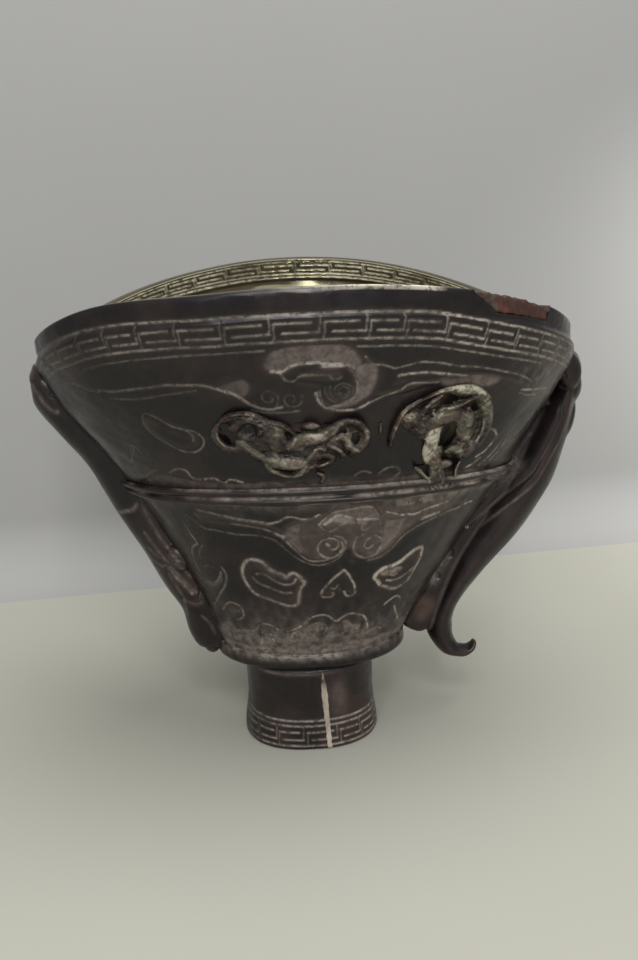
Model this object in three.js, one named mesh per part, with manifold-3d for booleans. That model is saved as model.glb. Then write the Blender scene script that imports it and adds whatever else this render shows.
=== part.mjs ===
// A footed libation cup of dark horn: an oval flared bowl in two sections, a ribbed collar over their
// joint, a foot with a floor plug and a dowel, a strap handle, a spout dragon and applied relief dragons.
import * as THREE from 'three';
import { mergeVertices } from 'three/addons/utils/BufferGeometryUtils.js';
import Module from 'manifold-3d';

const wasm = await Module();
wasm.setup();

// Driving sizes of the bowl, in millimetres. X runs along the cup from spout to handle, Z is up.
const rimLength = 141.8;
const rimDepth = 102.2;
const rimSideHeight = 130.4;
const rimEndHeight = 112;
const baseLength = 51.4;
const baseDepth = 34.2;
const baseSideHeight = 27.7;
const baseEndHeight = 28.8;
const bowlLean = 4.6;
const wallThickness = 4;
const lipRounding = 1.1;
const spoutRimLift = 2.4;

// Driving sizes of the foot and the ledge above it.
const footHeight = 23.4;
const footLength = 38;
const footDepth = 37;
const footTopLength = 36.4;
const footTopDepth = 35.8;
const footWaistLength = 35.8;
const footWaistDepth = 35.2;
const footEdge = 0.6;
const recessRadius = 13.6;
const recessTopRadius = 12.6;
const recessHeight = 16.5;
const ledgeProud = 1;
const ledgeUndercut = 4.2;
const ledgeSideUndercut = 0.5;
const ledgeTaper = 1.6;
const ledgeDraft = 1.9;

// Joints between the pieces.
const gap = 0.3;
const spigotHeight = 4;
const tenonRadius = 9.7;
const tenonHeight = 3.1;
const seatThickness = 5.6;
const plugThickness = 4.4;
const plugBossDrop = 2.2;
const dowelRadius = 2.2;
const dowelDepth = 4.2;
const pegRadius = 1.6;
const pegInWall = 2.4;
const handleUpperPegLength = 3.4;
const handleLowerPegLength = 7;
const spoutPegLength = 2.2;

// Waist collar.
const collarWidth = 5;
const collarBase = 0.6;
const collarRib = 1.3;

// Handle, spout dragon and reliefs.
const handleStandOff = 9.6;
const handleHalfDepth = 7;
const handleHalfWidth = 7;
const webHalfWidth = 3.8;
const spoutProud = 7.5;
const spoutHalfWidth = 8;
const reliefProud = 4.2;
const reliefHalfWidth = 4.6;
const seamSlotWidth = 1.3;
const seamDepth = 1.8;
const seamOverreach = 2.4;
const repairDrop = 5.2;

// Stations up the wall. A level counts them from the ledge, and parts of a level lie between two stations.
const stations = ['ledge', 'low wall', 'waist', 'foot of the fret band', 'top of the fret band', 'rim'];
const ledgeLevel = stations.indexOf('ledge');
const waistLevel = stations.indexOf('waist');
const rimLevel = stations.indexOf('rim');
const lengthShares = [0, 0.195, 0.57, 0.975, 0.995, 1];
const depthShares = [0, 0.175, 0.525, 0.953, 0.994, 1];
const sideHeightShares = [0, 0.178, 0.491, 0.882, 0.944, 1];
const endHeightShares = [0, 0.207, 0.561, 0.875, 0.957, 1];
const leanShares = [0.17, 0.56, 1, 0.63, 0.5, 0.46];

// The plan is a little fuller than an ellipse, and the rim sinks faster to its ends on the far side.
const wallPower = 2.1;
const footPower = 2.3;
const circlePower = 2;
const nearDipPower = 0.9;
const farDipPower = 1.8;
const dipSoftnessShare = 0.2;

// The rim's spout end stands higher than its handle end: the levels it starts and ends at, the share of
// the way to the spout, and how much of it is lost over the start of the far side.
const liftLevelShares = [2.7, 3.05];
const liftAlongShares = [0.3, 0.8];
const farLiftShares = [0, 0.5];
const farLiftLossShare = 0.7;

const wallColumns = 48;
const footColumns = 40;
const fullTurn = 2 * Math.PI;
const alongX = new THREE.Vector3(1, 0, 0);
const upZ = new THREE.Vector3(0, 0, 1);

// Smooth value through the stations at any level between them.
function atLevel(shares, level) {
  const last = shares.length - 1;
  const step = Math.min(Math.max(Math.floor(level), 0), last - 1);
  const t = level - step;
  const [before, from, to, after] = [step - 1, step, step + 1, step + 2]
    .map((index) => shares[Math.min(Math.max(index, 0), last)]);
  return 0.5 * (2 * from + (to - before) * t + (2 * before - 5 * from + 4 * to - after) * t * t
    + (3 * from - before - 3 * to + after) * t ** 3);
}

const between = (low, high, share) => low + (high - low) * share;
const degrees = (angle) => THREE.MathUtils.degToRad(angle);
const sideHeightAt = (level) => between(baseSideHeight, rimSideHeight, atLevel(sideHeightShares, level));

// How far the wall's height has risen from the end value (0) to the side value (1).
function dipShare(sine) {
  const power = sine < 0 ? nearDipPower : farDipPower;
  const soft = dipSoftnessShare ** 2;
  const rise = (square) => (square + soft) ** (power / 2) - soft ** (power / 2);
  return rise(sine * sine) / rise(1);
}

// How much the wall is lifted towards the spout.
function liftAt(level, angle) {
  const { smoothstep } = THREE.MathUtils;
  const up = smoothstep(level, ...liftLevelShares);
  const along = smoothstep(-Math.cos(angle), ...liftAlongShares);
  const far = smoothstep(Math.sin(angle), ...farLiftShares);
  return spoutRimLift * up * along * (1 - farLiftLossShare * far);
}

function planPoint(angle, halfLength, halfDepth, power) {
  const [c, s] = [Math.cos(angle), Math.sin(angle)];
  return [halfLength * Math.sign(c) * Math.abs(c) ** (2 / power),
    halfDepth * Math.sign(s) * Math.abs(s) ** (2 / power)];
}

// A point of the bowl's outer wall, or out from it by a distance along the plan.
function wallPoint(level, angle, out = 0) {
  const lengthShare = atLevel(lengthShares, level);
  const depthShare = atLevel(depthShares, level);
  const [x, y] = planPoint(angle, between(baseLength, rimLength, lengthShare) / 2 + out,
    between(baseDepth, rimDepth, depthShare) / 2 + out, wallPower);
  const side = sideHeightAt(level);
  const end = between(baseEndHeight, rimEndHeight, atLevel(endHeightShares, level));
  const height = between(end, side, dipShare(Math.sin(angle)));
  const lean = bowlLean * atLevel(leanShares, level);
  return new THREE.Vector3(x + lean, y, height + liftAt(level, angle));
}

// The level whose side height is a given rise above another level.
function levelAbove(level, rise) {
  const target = sideHeightAt(level) + rise;
  let [low, high] = [ledgeLevel, rimLevel];
  while (high - low > 1e-6) {
    const middle = (low + high) / 2;
    if (sideHeightAt(middle) < target) low = middle;
    else high = middle;
  }
  return low;
}

// Direction square out of the wall at a level and angle.
function wallNormal(level, angle) {
  const step = 1e-3;
  const alongLevel = wallPoint(level + step, angle).sub(wallPoint(level - step, angle));
  const alongAngle = wallPoint(level, angle + step).sub(wallPoint(level, angle - step));
  return alongAngle.cross(alongLevel).normalize();
}

// Section corners for turnedBody: each gives its point at an angle round the cup.
const onWall = (level, out = 0) => (angle) => wallPoint(level, angle, out);
const onAxis = (height, x = 0) => () => new THREE.Vector3(x, 0, height);
function onOval(halfLength, halfDepth, height, x = 0, power = wallPower) {
  return (angle) => {
    const [px, py] = planPoint(angle, halfLength, halfDepth, power);
    return new THREE.Vector3(px + x, py, height);
  };
}
const onFoot = (length, depth, height) => onOval(length / 2, depth / 2, height, 0, footPower);
const onCircle = (radius, height) => onOval(radius, radius, height, 0, circlePower);

// A closed geometry from points and triangles, with shared points merged and faces pointing out.
function closedGeometry(points, triangles) {
  const raw = new THREE.BufferGeometry();
  raw.setAttribute('position', new THREE.Float32BufferAttribute(points.flatMap((p) => p.toArray()), 3));
  raw.setIndex(triangles.flat());
  const merged = mergeVertices(raw);
  const place = merged.attributes.position;
  const corner = (index) => new THREE.Vector3().fromBufferAttribute(place, index);
  const kept = [];
  let volume = 0;
  for (let i = 0; i < merged.index.count; i += 3) {
    const [a, b, c] = [0, 1, 2].map((k) => merged.index.getX(i + k));
    if (a === b || b === c || c === a) continue;
    kept.push([a, b, c]);
    volume += corner(a).dot(corner(b).cross(corner(c)));
  }
  merged.setIndex(kept.flatMap(([a, b, c]) => (volume > 0 ? [a, b, c] : [a, c, b])));
  return merged;
}

// A section turned round the cup. The section closes on itself, on the axis or round a ring.
function turnedBody(section, columns) {
  const points = [];
  const triangles = [];
  const rows = section.length;
  for (let column = 0; column < columns; column += 1) {
    section.forEach((corner) => points.push(corner((column / columns) * fullTurn)));
    const next = (column + 1) % columns;
    for (let row = 0; row < rows; row += 1) {
      const up = (row + 1) % rows;
      const [a, b] = [column * rows + row, column * rows + up];
      const [c, d] = [next * rows + up, next * rows + row];
      triangles.push([a, b, c], [a, c, d]);
    }
  }
  return closedGeometry(points, triangles);
}

// A block that follows the wall between two levels, two offsets and two angles.
function wallBlock(levels, offsets, angles) {
  const columns = 10;
  const points = [];
  const triangles = [];
  const [lowOut, highOut] = offsets;
  for (let column = 0; column <= columns; column += 1) {
    const angle = between(angles[0], angles[1], column / columns);
    points.push(wallPoint(levels[0], angle, lowOut), wallPoint(levels[0], angle, highOut),
      wallPoint(levels[1], angle, highOut), wallPoint(levels[1], angle, lowOut));
    if (column === columns) break;
    for (let row = 0; row < 4; row += 1) {
      const [a, b] = [column * 4 + row, column * 4 + ((row + 1) % 4)];
      triangles.push([a, b, b + 4], [a, b + 4, a + 4]);
    }
  }
  const end = columns * 4;
  triangles.push([0, 2, 1], [0, 3, 2], [end, end + 1, end + 2], [end, end + 2, end + 3]);
  return closedGeometry(points, triangles);
}

// A body swept through oval rings, each with a middle, two directions and two half sizes.
function sweptBody(rings, sides, power = circlePower) {
  const points = [];
  const triangles = [];
  rings.forEach((ring, index) => {
    for (let side = 0; side < sides; side += 1) {
      const [u, v] = planPoint((side / sides) * fullTurn, ring.high, ring.wide, power);
      points.push(ring.middle.clone().addScaledVector(ring.out, u).addScaledVector(ring.across, v));
      if (index === rings.length - 1) continue;
      const next = (side + 1) % sides;
      const [a, b] = [index * sides + side, index * sides + next];
      triangles.push([a, b, b + sides], [a, b + sides, a + sides]);
    }
  });
  const [first, last] = [rings[0], rings[rings.length - 1]];
  const [start, end] = [points.length, points.length + 1];
  points.push(first.middle.clone(), last.middle.clone());
  const lastRing = (rings.length - 1) * sides;
  for (let side = 0; side < sides; side += 1) {
    const next = (side + 1) % sides;
    triangles.push([start, next, side], [end, lastRing + side, lastRing + next]);
  }
  return closedGeometry(points, triangles);
}

function toSolid(geometry) {
  const bare = new THREE.BufferGeometry();
  bare.setAttribute('position', geometry.attributes.position);
  if (geometry.index) bare.setIndex(geometry.index);
  const merged = mergeVertices(bare);
  return new wasm.Manifold(new wasm.Mesh({
    numProp: 3,
    vertProperties: merged.attributes.position.array,
    triVerts: Uint32Array.from(merged.index.array),
  }));
}

function toGeometry(solid) {
  const mesh = solid.getMesh();
  const geometry = new THREE.BufferGeometry();
  geometry.setAttribute('position', new THREE.BufferAttribute(Float32Array.from(mesh.vertProperties), 3));
  geometry.setIndex(new THREE.BufferAttribute(Uint32Array.from(mesh.triVerts), 1));
  return geometry;
}

const joinAll = (solids) => solids.reduce((whole, solid) => whole.add(solid));
const cutAll = (solid, tools) => tools.reduce((rest, tool) => rest.subtract(tool), solid);

// A round pin along a direction, from one end point.
function pin(radius, start, direction, length) {
  const sides = 16;
  const geometry = new THREE.CylinderGeometry(radius, radius, length, sides);
  geometry.translate(0, length / 2, 0);
  geometry.applyQuaternion(new THREE.Quaternion().setFromUnitVectors(new THREE.Vector3(0, 1, 0), direction));
  return geometry.translate(start.x, start.y, start.z);
}

function lump(middle, halfSizes, tilt = 0) {
  const geometry = new THREE.SphereGeometry(1, 14, 10);
  geometry.scale(...halfSizes);
  geometry.rotateY(tilt);
  return toSolid(geometry.translate(middle.x, middle.y, middle.z));
}

// Levels of the ledge, collar and joint, all worked out from the sizes above.
const collarBottom = levelAbove(waistLevel, -collarWidth / 2);
const collarTop = levelAbove(waistLevel, collarWidth / 2);
const collarOut = collarBase + collarRib + gap;
const ledgeBottom = footHeight + gap;
const seatHeight = ledgeBottom + seatThickness;
const seatLevel = levelAbove(ledgeLevel, seatHeight - baseSideHeight);
const lapInset = (wallThickness - gap) / 2;
const lowerTop = levelAbove(waistLevel, -gap);
const spigotTop = levelAbove(waistLevel, spigotHeight);
const rebateTop = levelAbove(waistLevel, spigotHeight + gap);
const lipLevel = levelAbove(rimLevel, -lipRounding);
const lowerLevelShares = [0.3, 0.65, 1, 1.35, 1.7];
const upperLevelShares = [2.3, 2.6, 2.85, 3, 3.5, 4, 4.5];

// The ledge moulding's section, with clearance added where a neighbour has to stay clear of it.
function ledgeSection(clear = 0) {
  const [length, depth] = [baseLength / 2 + ledgeProud, baseDepth / 2 + ledgeProud];
  const lean = bowlLean * leanShares[0];
  return [
    onOval(length - ledgeUndercut + clear, depth - ledgeSideUndercut + clear, ledgeBottom - clear, lean),
    onOval(length - ledgeDraft / 2 + clear, depth + clear, ledgeBottom + ledgeTaper, lean),
    onWall(ledgeLevel, ledgeProud + clear),
    onWall(ledgeLevel, clear),
  ];
}

function upperBowlSolid() {
  return toSolid(turnedBody([
    onWall(waistLevel, 0), ...upperLevelShares.map((level) => onWall(level)), onWall(lipLevel),
    onWall(rimLevel, -lipRounding), onWall(rimLevel, lipRounding - wallThickness),
    onWall(lipLevel, -wallThickness),
    ...upperLevelShares.toReversed().map((level) => onWall(level, -wallThickness)),
    onWall(rebateTop, -wallThickness), onWall(rebateTop, -lapInset), onWall(waistLevel, -lapInset),
  ], wallColumns));
}

function lowerBowlSolid() {
  return toSolid(turnedBody([
    onCircle(tenonRadius + gap, ledgeBottom), ...ledgeSection(),
    ...lowerLevelShares.map((level) => onWall(level)), onWall(lowerTop),
    onWall(lowerTop, -lapInset - gap), onWall(spigotTop, -lapInset - gap), onWall(spigotTop, -wallThickness),
    ...lowerLevelShares.toReversed().map((level) => onWall(level, -wallThickness)),
    onWall(seatLevel, -wallThickness), onCircle(tenonRadius + gap, seatHeight),
  ], wallColumns));
}

// Space that the applied pieces keep clear of: wall, ledge and collar, each grown by the gap.
function clearOfBowl() {
  const [foot, ...ledge] = ledgeSection(gap);
  return toSolid(turnedBody([
    onAxis(ledgeBottom - gap), foot, ...ledge,
    ...lowerLevelShares.map((level) => onWall(level, gap)),
    onWall(levelAbove(collarBottom, -gap), gap),
    onWall(levelAbove(collarBottom, -gap), collarOut + gap),
    onWall(levelAbove(collarTop, gap), collarOut + gap),
    onWall(levelAbove(collarTop, gap), gap),
    ...upperLevelShares.map((level) => onWall(level, gap)), onWall(rimLevel, gap), onAxis(rimSideHeight),
  ], wallColumns));
}

// Corners of the two ribs: the share of the collar's width, and whether the corner is on a crest.
const collarShares = [
  [0, false], [0.14, true], [0.34, true], [0.5, false], [0.66, true], [0.86, true], [1, false],
];
function collarGeometry() {
  const groove = collarBase + gap;
  const shape = collarShares.map(([share, isCrest]) => (
    onWall(between(collarBottom, collarTop, share), isCrest ? collarOut : groove)));
  return turnedBody([onWall(collarBottom, gap), ...shape, onWall(collarTop, gap)], wallColumns);
}

const tenonTop = footHeight + tenonHeight;
const bossBottom = seatHeight - plugBossDrop;
const dowelBottom = tenonTop - tenonHeight - dowelDepth;
const plugTop = seatHeight + plugThickness;
const dowelLength = plugTop - dowelDepth / 2 - dowelBottom;

function dowelGeometry(clear = 0) {
  const start = new THREE.Vector3(0, 0, dowelBottom - clear);
  return pin(dowelRadius + clear, start, upZ, dowelLength + 2 * clear);
}

function floorPlugSolid() {
  const plug = toSolid(turnedBody([
    onAxis(bossBottom), onCircle(tenonRadius, bossBottom), onCircle(tenonRadius, seatHeight + gap),
    onWall(levelAbove(seatLevel, gap), -wallThickness - gap),
    onWall(levelAbove(seatLevel, plugThickness / 2), -wallThickness - gap),
    onOval(tenonRadius, tenonRadius, plugTop), onAxis(plugTop),
  ], footColumns));
  return plug.subtract(toSolid(dowelGeometry(gap)));
}

function footBlank() {
  return toSolid(turnedBody([
    onAxis(recessHeight), onCircle(recessTopRadius, recessHeight), onCircle(recessRadius, 0),
    onFoot(footLength - 2 * footEdge, footDepth - 2 * footEdge, 0), onFoot(footLength, footDepth, footEdge),
    onFoot(footWaistLength, footWaistDepth, footHeight / 2), onFoot(footTopLength, footTopDepth, footHeight),
    onCircle(tenonRadius, footHeight), onCircle(tenonRadius, tenonTop), onAxis(tenonTop),
  ], footColumns));
}

// The split in the foot's near side leans towards the handle as it goes down.
const seamTopShare = 0.16;
const seamBaseShare = 0.31;
function seamBlock(width, depth, bottom) {
  const bevel = Math.atan2((seamBaseShare - seamTopShare) * footLength / 2, footHeight);
  const height = footHeight - bottom;
  const geometry = new THREE.BoxGeometry(width, depth + seamOverreach, height);
  geometry.translate(0, 0, -height / 2);
  geometry.rotateY(-bevel);
  const middle = -footTopDepth / 2 + depth / 2 - footEdge;
  return toSolid(geometry.translate(seamTopShare * footLength / 2, middle, footHeight - gap));
}

// Paths of the applied dragons are shares: the level on the wall, then shares of their own sizes.
const handleStrapShares = [
  { level: 3.25, out: 0.05, high: 0.38, wide: 0.72 }, { level: 3.05, out: 0.18, high: 0.5, wide: 0.9 },
  { level: 2.75, out: 0.36, high: 0.58, wide: 1 }, { level: 2.53, out: 0.54, high: 0.78, wide: 1 },
  { level: 2.17, out: 0.82, high: 0.96, wide: 1 }, { level: 1.95, out: 0.94, high: 0.92, wide: 1 },
  { level: 1.6, out: 0.9, high: 0.95, wide: 1 }, { level: 1.2, out: 0.78, high: 0.76, wide: 0.95 },
  { level: 0.8, out: 0.8, high: 0.55, wide: 0.85 },
];
const handleTailShares = [
  { out: 1.135, height: 1.325, high: 0.52, wide: 0.76, turn: -12 },
  { out: 1.095, height: 1.167, high: 0.55, wide: 0.68, turn: 0 },
  { out: 1.165, height: 1.026, high: 0.47, wide: 0.6, turn: 10 },
  { out: 1.417, height: 0.863, high: 0.37, wide: 0.52, turn: 31 },
  { out: 1.708, height: 0.82, high: 0.285, wide: 0.48, turn: 65 },
  { out: 1.927, height: 0.816, high: 0.25, wide: 0.44, turn: 80 },
  { out: 2.115, height: 0.868, high: 0.19, wide: 0.36, turn: 115 },
  { out: 2.167, height: 0.927, high: 0.115, wide: 0.26, turn: 150 },
];
const webShares = [
  { level: 2.65, fill: 0.3 }, { level: 2.3, fill: 0.45 }, { level: 1.9, fill: 0.58 },
  { level: 1.5, fill: 0.55 }, { level: 1.1, fill: 0.45 }, { level: 0.7, fill: 0.4 },
  { level: 0.3, fill: 0.37 }, { level: 0.18, fill: 0.33 },
];
const handleLumpShares = [
  { level: 2.75, angle: 0, out: 0.55, sizes: [0.62, 0.9, 0.88], tilt: 0 },
  { level: 2.4, angle: 0, out: 1.44, sizes: [0.35, 0.6, 0.95], tilt: 12 },
  { level: 2.95, angle: 6, out: 0.12, sizes: [0.5, 0.42, 0.75], tilt: -10 },
  { level: 2.95, angle: -6, out: 0.12, sizes: [0.5, 0.42, 0.75], tilt: -10 },
];
const spoutStrapShares = [
  { level: 3.35, high: 0.2, wide: 0.5 }, { level: 3.15, high: 0.42, wide: 0.8 },
  { level: 3, high: 0.62, wide: 0.95 }, { level: 2.85, high: 0.8, wide: 0.95 },
  { level: 2.6, high: 0.78, wide: 0.85 }, { level: 2.3, high: 0.83, wide: 0.8 },
  { level: 2, high: 1.05, wide: 0.85 }, { level: 1.75, high: 1.1, wide: 0.9 },
  { level: 1.45, high: 1.03, wide: 1 }, { level: 1.1, high: 1, wide: 1.05 },
  { level: 0.75, high: 0.87, wide: 0.95 }, { level: 0.4, high: 1.02, wide: 0.8 },
  { level: 0.12, high: 1, wide: 0.7 },
];
const spoutLumpShares = [
  { level: 2.9, angle: 0, out: 0, sizes: [0.44, 0.9, 0.8], tilt: 0 },
  { level: 0, angle: 0, out: 0.33, sizes: [0.42, 0.62, 0.7], tilt: 0 },
  { level: 1.23, angle: 11, out: 0.05, sizes: [0.38, 0.3, 0.53], tilt: -30 },
  { level: 1.23, angle: -11, out: 0.05, sizes: [0.38, 0.3, 0.53], tilt: -30 },
  { level: 1.33, angle: 17, out: 0.05, sizes: [0.38, 0.3, 0.53], tilt: -30 },
  { level: 1.33, angle: -17, out: 0.05, sizes: [0.38, 0.3, 0.53], tilt: -30 },
];

// A ring of a strap that runs up one end of the bowl: out is square to the wall in the cup's long plane.
function endRing(angle, row, standOff, halfDepth, halfWidth) {
  const out = wallNormal(row.level, angle).setY(0).normalize();
  const middle = wallPoint(row.level, angle).addScaledVector(out, standOff * (row.out ?? 0));
  const [high, wide] = [halfDepth * row.high, halfWidth * row.wide];
  return { middle, out, across: new THREE.Vector3(0, 1, 0), high, wide };
}

// Lumps on the wall near one end, with offsets and half sizes as shares of a size of the strap.
function endLumps(rows, angle, size) {
  return rows.map((row) => lump(
    wallPoint(row.level, angle + degrees(row.angle), row.out * size),
    row.sizes.map((share) => share * size), degrees(row.tilt)));
}

const strapSides = 12;
function handleSolid() {
  const end = wallPoint(ledgeLevel, 0, ledgeProud);
  const strap = handleStrapShares.map((row) => (
    endRing(0, row, handleStandOff, handleHalfDepth, handleHalfWidth)));
  const tail = handleTailShares.map((row) => ({
    middle: new THREE.Vector3(end.x + row.out * handleStandOff, 0, row.height * footHeight),
    out: new THREE.Vector3(Math.cos(degrees(row.turn)), 0, Math.sin(degrees(row.turn))),
    across: new THREE.Vector3(0, 1, 0),
    high: row.high * handleHalfDepth,
    wide: row.wide * handleHalfWidth,
  }));
  const web = webShares.map((row) => endRing(0, { level: row.level, out: row.fill, high: row.fill, wide: 1 },
    handleStandOff, handleStandOff + wallThickness / 2, webHalfWidth));
  const ridgedPower = 1.6;
  const squarePower = 4;
  return joinAll([
    toSolid(sweptBody([...strap, ...tail], strapSides, ridgedPower)),
    toSolid(sweptBody(web, strapSides, squarePower)),
    ...endLumps(handleLumpShares, 0, handleHalfDepth),
  ]);
}

function spoutDragonSolid() {
  const strap = spoutStrapShares.map((row) => endRing(Math.PI, row, spoutProud, spoutProud, spoutHalfWidth));
  return joinAll([toSolid(sweptBody(strap, strapSides)), ...endLumps(spoutLumpShares, Math.PI, spoutProud)]);
}

// Half-round relief on the wall, along a path of angles in degrees and levels.
function reliefSweep(path, proud, halfWidth) {
  const places = path.map(([angle, level]) => wallPoint(level, degrees(angle)));
  const rings = path.map(([angle, level, size], index) => {
    const out = wallNormal(level, degrees(angle));
    const ahead = places[Math.min(index + 1, path.length - 1)];
    const along = ahead.clone().sub(places[Math.max(index - 1, 0)]).normalize();
    const across = along.clone().cross(out).normalize();
    return { middle: places[index], out, across, high: proud * size, wide: halfWidth * size };
  });
  return toSolid(sweptBody(rings, 10));
}

const centreBodyShares = [
  [-114, 2.43, 0.3], [-112, 2.48, 0.8], [-108, 2.49, 0.95], [-105, 2.38, 0.9], [-103.5, 2.26, 0.95],
  [-100, 2.19, 1.05], [-95, 2.18, 1], [-90, 2.25, 0.85], [-86, 2.35, 0.95], [-84, 2.44, 1], [-86, 2.51, 0.8],
  [-88, 2.52, 0.3],
];
const centreLimbShares = [[-97.5, 2.41, 0.3], [-96, 2.39, 0.7], [-91, 2.36, 0.8], [-86, 2.4, 0.5]];
const rightBodyShares = [
  [-62, 2.24, 0.5], [-66, 2.28, 0.85], [-68.5, 2.38, 0.95], [-67, 2.49, 1], [-62.5, 2.56, 0.95],
  [-56, 2.57, 0.9], [-50, 2.5, 0.9], [-47, 2.37, 0.9], [-50, 2.25, 0.8], [-56, 2.2, 0.75], [-61, 2.22, 0.5],
];
const rightHornShares = [[-64, 2.52, 0.4], [-69.5, 2.52, 0.75], [-73, 2.45, 0.7], [-75, 2.34, 0.3]];
const rightLegShares = [
  [-63, 2.26, 0.4], [-61, 2.2, 0.85], [-58.5, 2.12, 0.9], [-57, 2.08, 0.7], [-56, 2.07, 0.3],
];

// The near and far reliefs are mirror images: the side is 1 on the near side and -1 on the far side.
function reliefSolid(paths, side, clear) {
  const mirrored = paths.map((path) => path.map(([angle, level, size]) => [side * angle, level, size]));
  return joinAll(mirrored.map((path) => reliefSweep(path, reliefProud, reliefHalfWidth))).subtract(clear);
}

// The rim repair: a patch let into the rim's near right, through the whole wall.
const repairAngles = [-58, -35];
const aboveRimShare = 0.4;
function repairBlock(clear) {
  const edge = clear / (rimLength / 2);
  const bottom = levelAbove(rimLevel, -repairDrop + clear);
  const top = rimLevel + aboveRimShare;
  const outside = wallThickness / 2;
  return toSolid(wallBlock([bottom, top], [-wallThickness - outside, outside],
    [degrees(repairAngles[0]) + edge, degrees(repairAngles[1]) - edge]));
}

// Pegs that hold the handle and the spout dragon, lying along X through the wall's outer face.
const pegLevelShares = [2.8, 1.25];
const [upperPegLevel, lowerPegLevel] = pegLevelShares;
function endPeg(level, angle, length, clear = 0) {
  const outward = alongX.clone().multiplyScalar(Math.cos(angle));
  const start = wallPoint(level, angle).addScaledVector(outward, -pegInWall - clear);
  return pin(pegRadius + clear, start, outward, pegInWall + length + 2 * clear);
}
const handlePegUpper = (clear) => endPeg(upperPegLevel, 0, handleUpperPegLength, clear);
const handlePegLower = (clear) => endPeg(lowerPegLevel, 0, handleLowerPegLength, clear);
const spoutPegUpper = (clear) => endPeg(upperPegLevel, Math.PI, spoutPegLength, clear);
const spoutPegLower = (clear) => endPeg(lowerPegLevel, Math.PI, spoutPegLength, clear);
const pegHole = (peg) => toSolid(peg(gap));

const horn = new THREE.Color('#241a16');
const redHorn = new THREE.Color('#3a2019');
const warmHorn = new THREE.Color('#6b4230');
const paleWax = new THREE.Color('#b3a489');

function finish(colour, roughness) {
  return new THREE.MeshStandardMaterial({ color: colour, roughness, metalness: 0 });
}

const cup = new THREE.Group();
function addPiece(name, geometry, material) {
  const mesh = new THREE.Mesh(geometry, material);
  mesh.name = name;
  cup.add(mesh);
}

const bowlClearance = clearOfBowl();
const upperHoles = [pegHole(handlePegUpper), pegHole(spoutPegUpper)];
const lowerHoles = [pegHole(handlePegLower), pegHole(spoutPegLower)];
const upperBlank = upperBowlSolid();
const foot = footBlank();

addPiece('upper_bowl', toGeometry(cutAll(upperBlank, [...upperHoles, repairBlock(0)])), finish(horn, 0.3));
addPiece('rim_repair', toGeometry(upperBlank.intersect(repairBlock(gap))), finish(warmHorn, 0.7));
addPiece('lower_bowl', toGeometry(cutAll(lowerBowlSolid(), lowerHoles)), finish(horn, 0.3));
addPiece('waist_ring', collarGeometry(), finish(horn, 0.35));
addPiece('bowl_floor_plug', toGeometry(floorPlugSolid()), finish(redHorn, 0.4));
const seamSlot = seamBlock(seamSlotWidth, seamDepth + gap, 0);
const footTools = [toSolid(dowelGeometry(gap)), seamSlot];
addPiece('foot', toGeometry(cutAll(foot, footTools)), finish(redHorn, 0.35));
addPiece('foot_dowel', dowelGeometry(), finish(redHorn, 0.5));
const seamFill = seamBlock(seamSlotWidth - 2 * gap, seamDepth, gap);
addPiece('foot_seam_fill', toGeometry(foot.intersect(seamFill)), finish(paleWax, 0.8));

const handleHoles = [pegHole(handlePegUpper), pegHole(handlePegLower)];
const spoutHoles = [pegHole(spoutPegUpper), pegHole(spoutPegLower)];
const applied = (solid, holes) => toGeometry(cutAll(solid.subtract(bowlClearance), holes));
addPiece('handle_dragon', applied(handleSolid(), handleHoles), finish(horn, 0.35));
addPiece('handle_peg_upper', handlePegUpper(), finish(redHorn, 0.5));
addPiece('handle_peg_lower', handlePegLower(), finish(redHorn, 0.5));
addPiece('spout_dragon', applied(spoutDragonSolid(), spoutHoles), finish(horn, 0.35));
addPiece('spout_peg_upper', spoutPegUpper(), finish(redHorn, 0.5));
addPiece('spout_peg_lower', spoutPegLower(), finish(redHorn, 0.5));

const centreRelief = [centreBodyShares, centreLimbShares];
const rightRelief = [rightBodyShares, rightHornShares, rightLegShares];
const reliefs = { relief_dragon_centre: [centreRelief, 1], relief_dragon_right: [rightRelief, 1],
  relief_dragon_far_centre: [centreRelief, -1], relief_dragon_far_right: [rightRelief, -1] };
Object.entries(reliefs).forEach(([name, [paths, side]]) => {
  addPiece(name, toGeometry(reliefSolid(paths, side, bowlClearance)), finish(horn, 0.35));
});

// The origin is on the table, under the middle of the cup's whole length.
const whole = new THREE.Group();
const box = new THREE.Box3().setFromObject(cup);
cup.position.x = -(box.min.x + box.max.x) / 2;
whole.add(cup);

export default whole;
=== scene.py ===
"""Carved horn libation cup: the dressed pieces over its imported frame.

Sizes are in millimetres until a mesh is made. A place on the bowl's wall is (degrees round the cup,
height in mm at the middle of its side): -90 is the middle of the near side, 0 the handle, 180 the spout.
"""

import logging
import math
from collections.abc import Callable, Sequence
from dataclasses import dataclass, field
from enum import Enum

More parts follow.
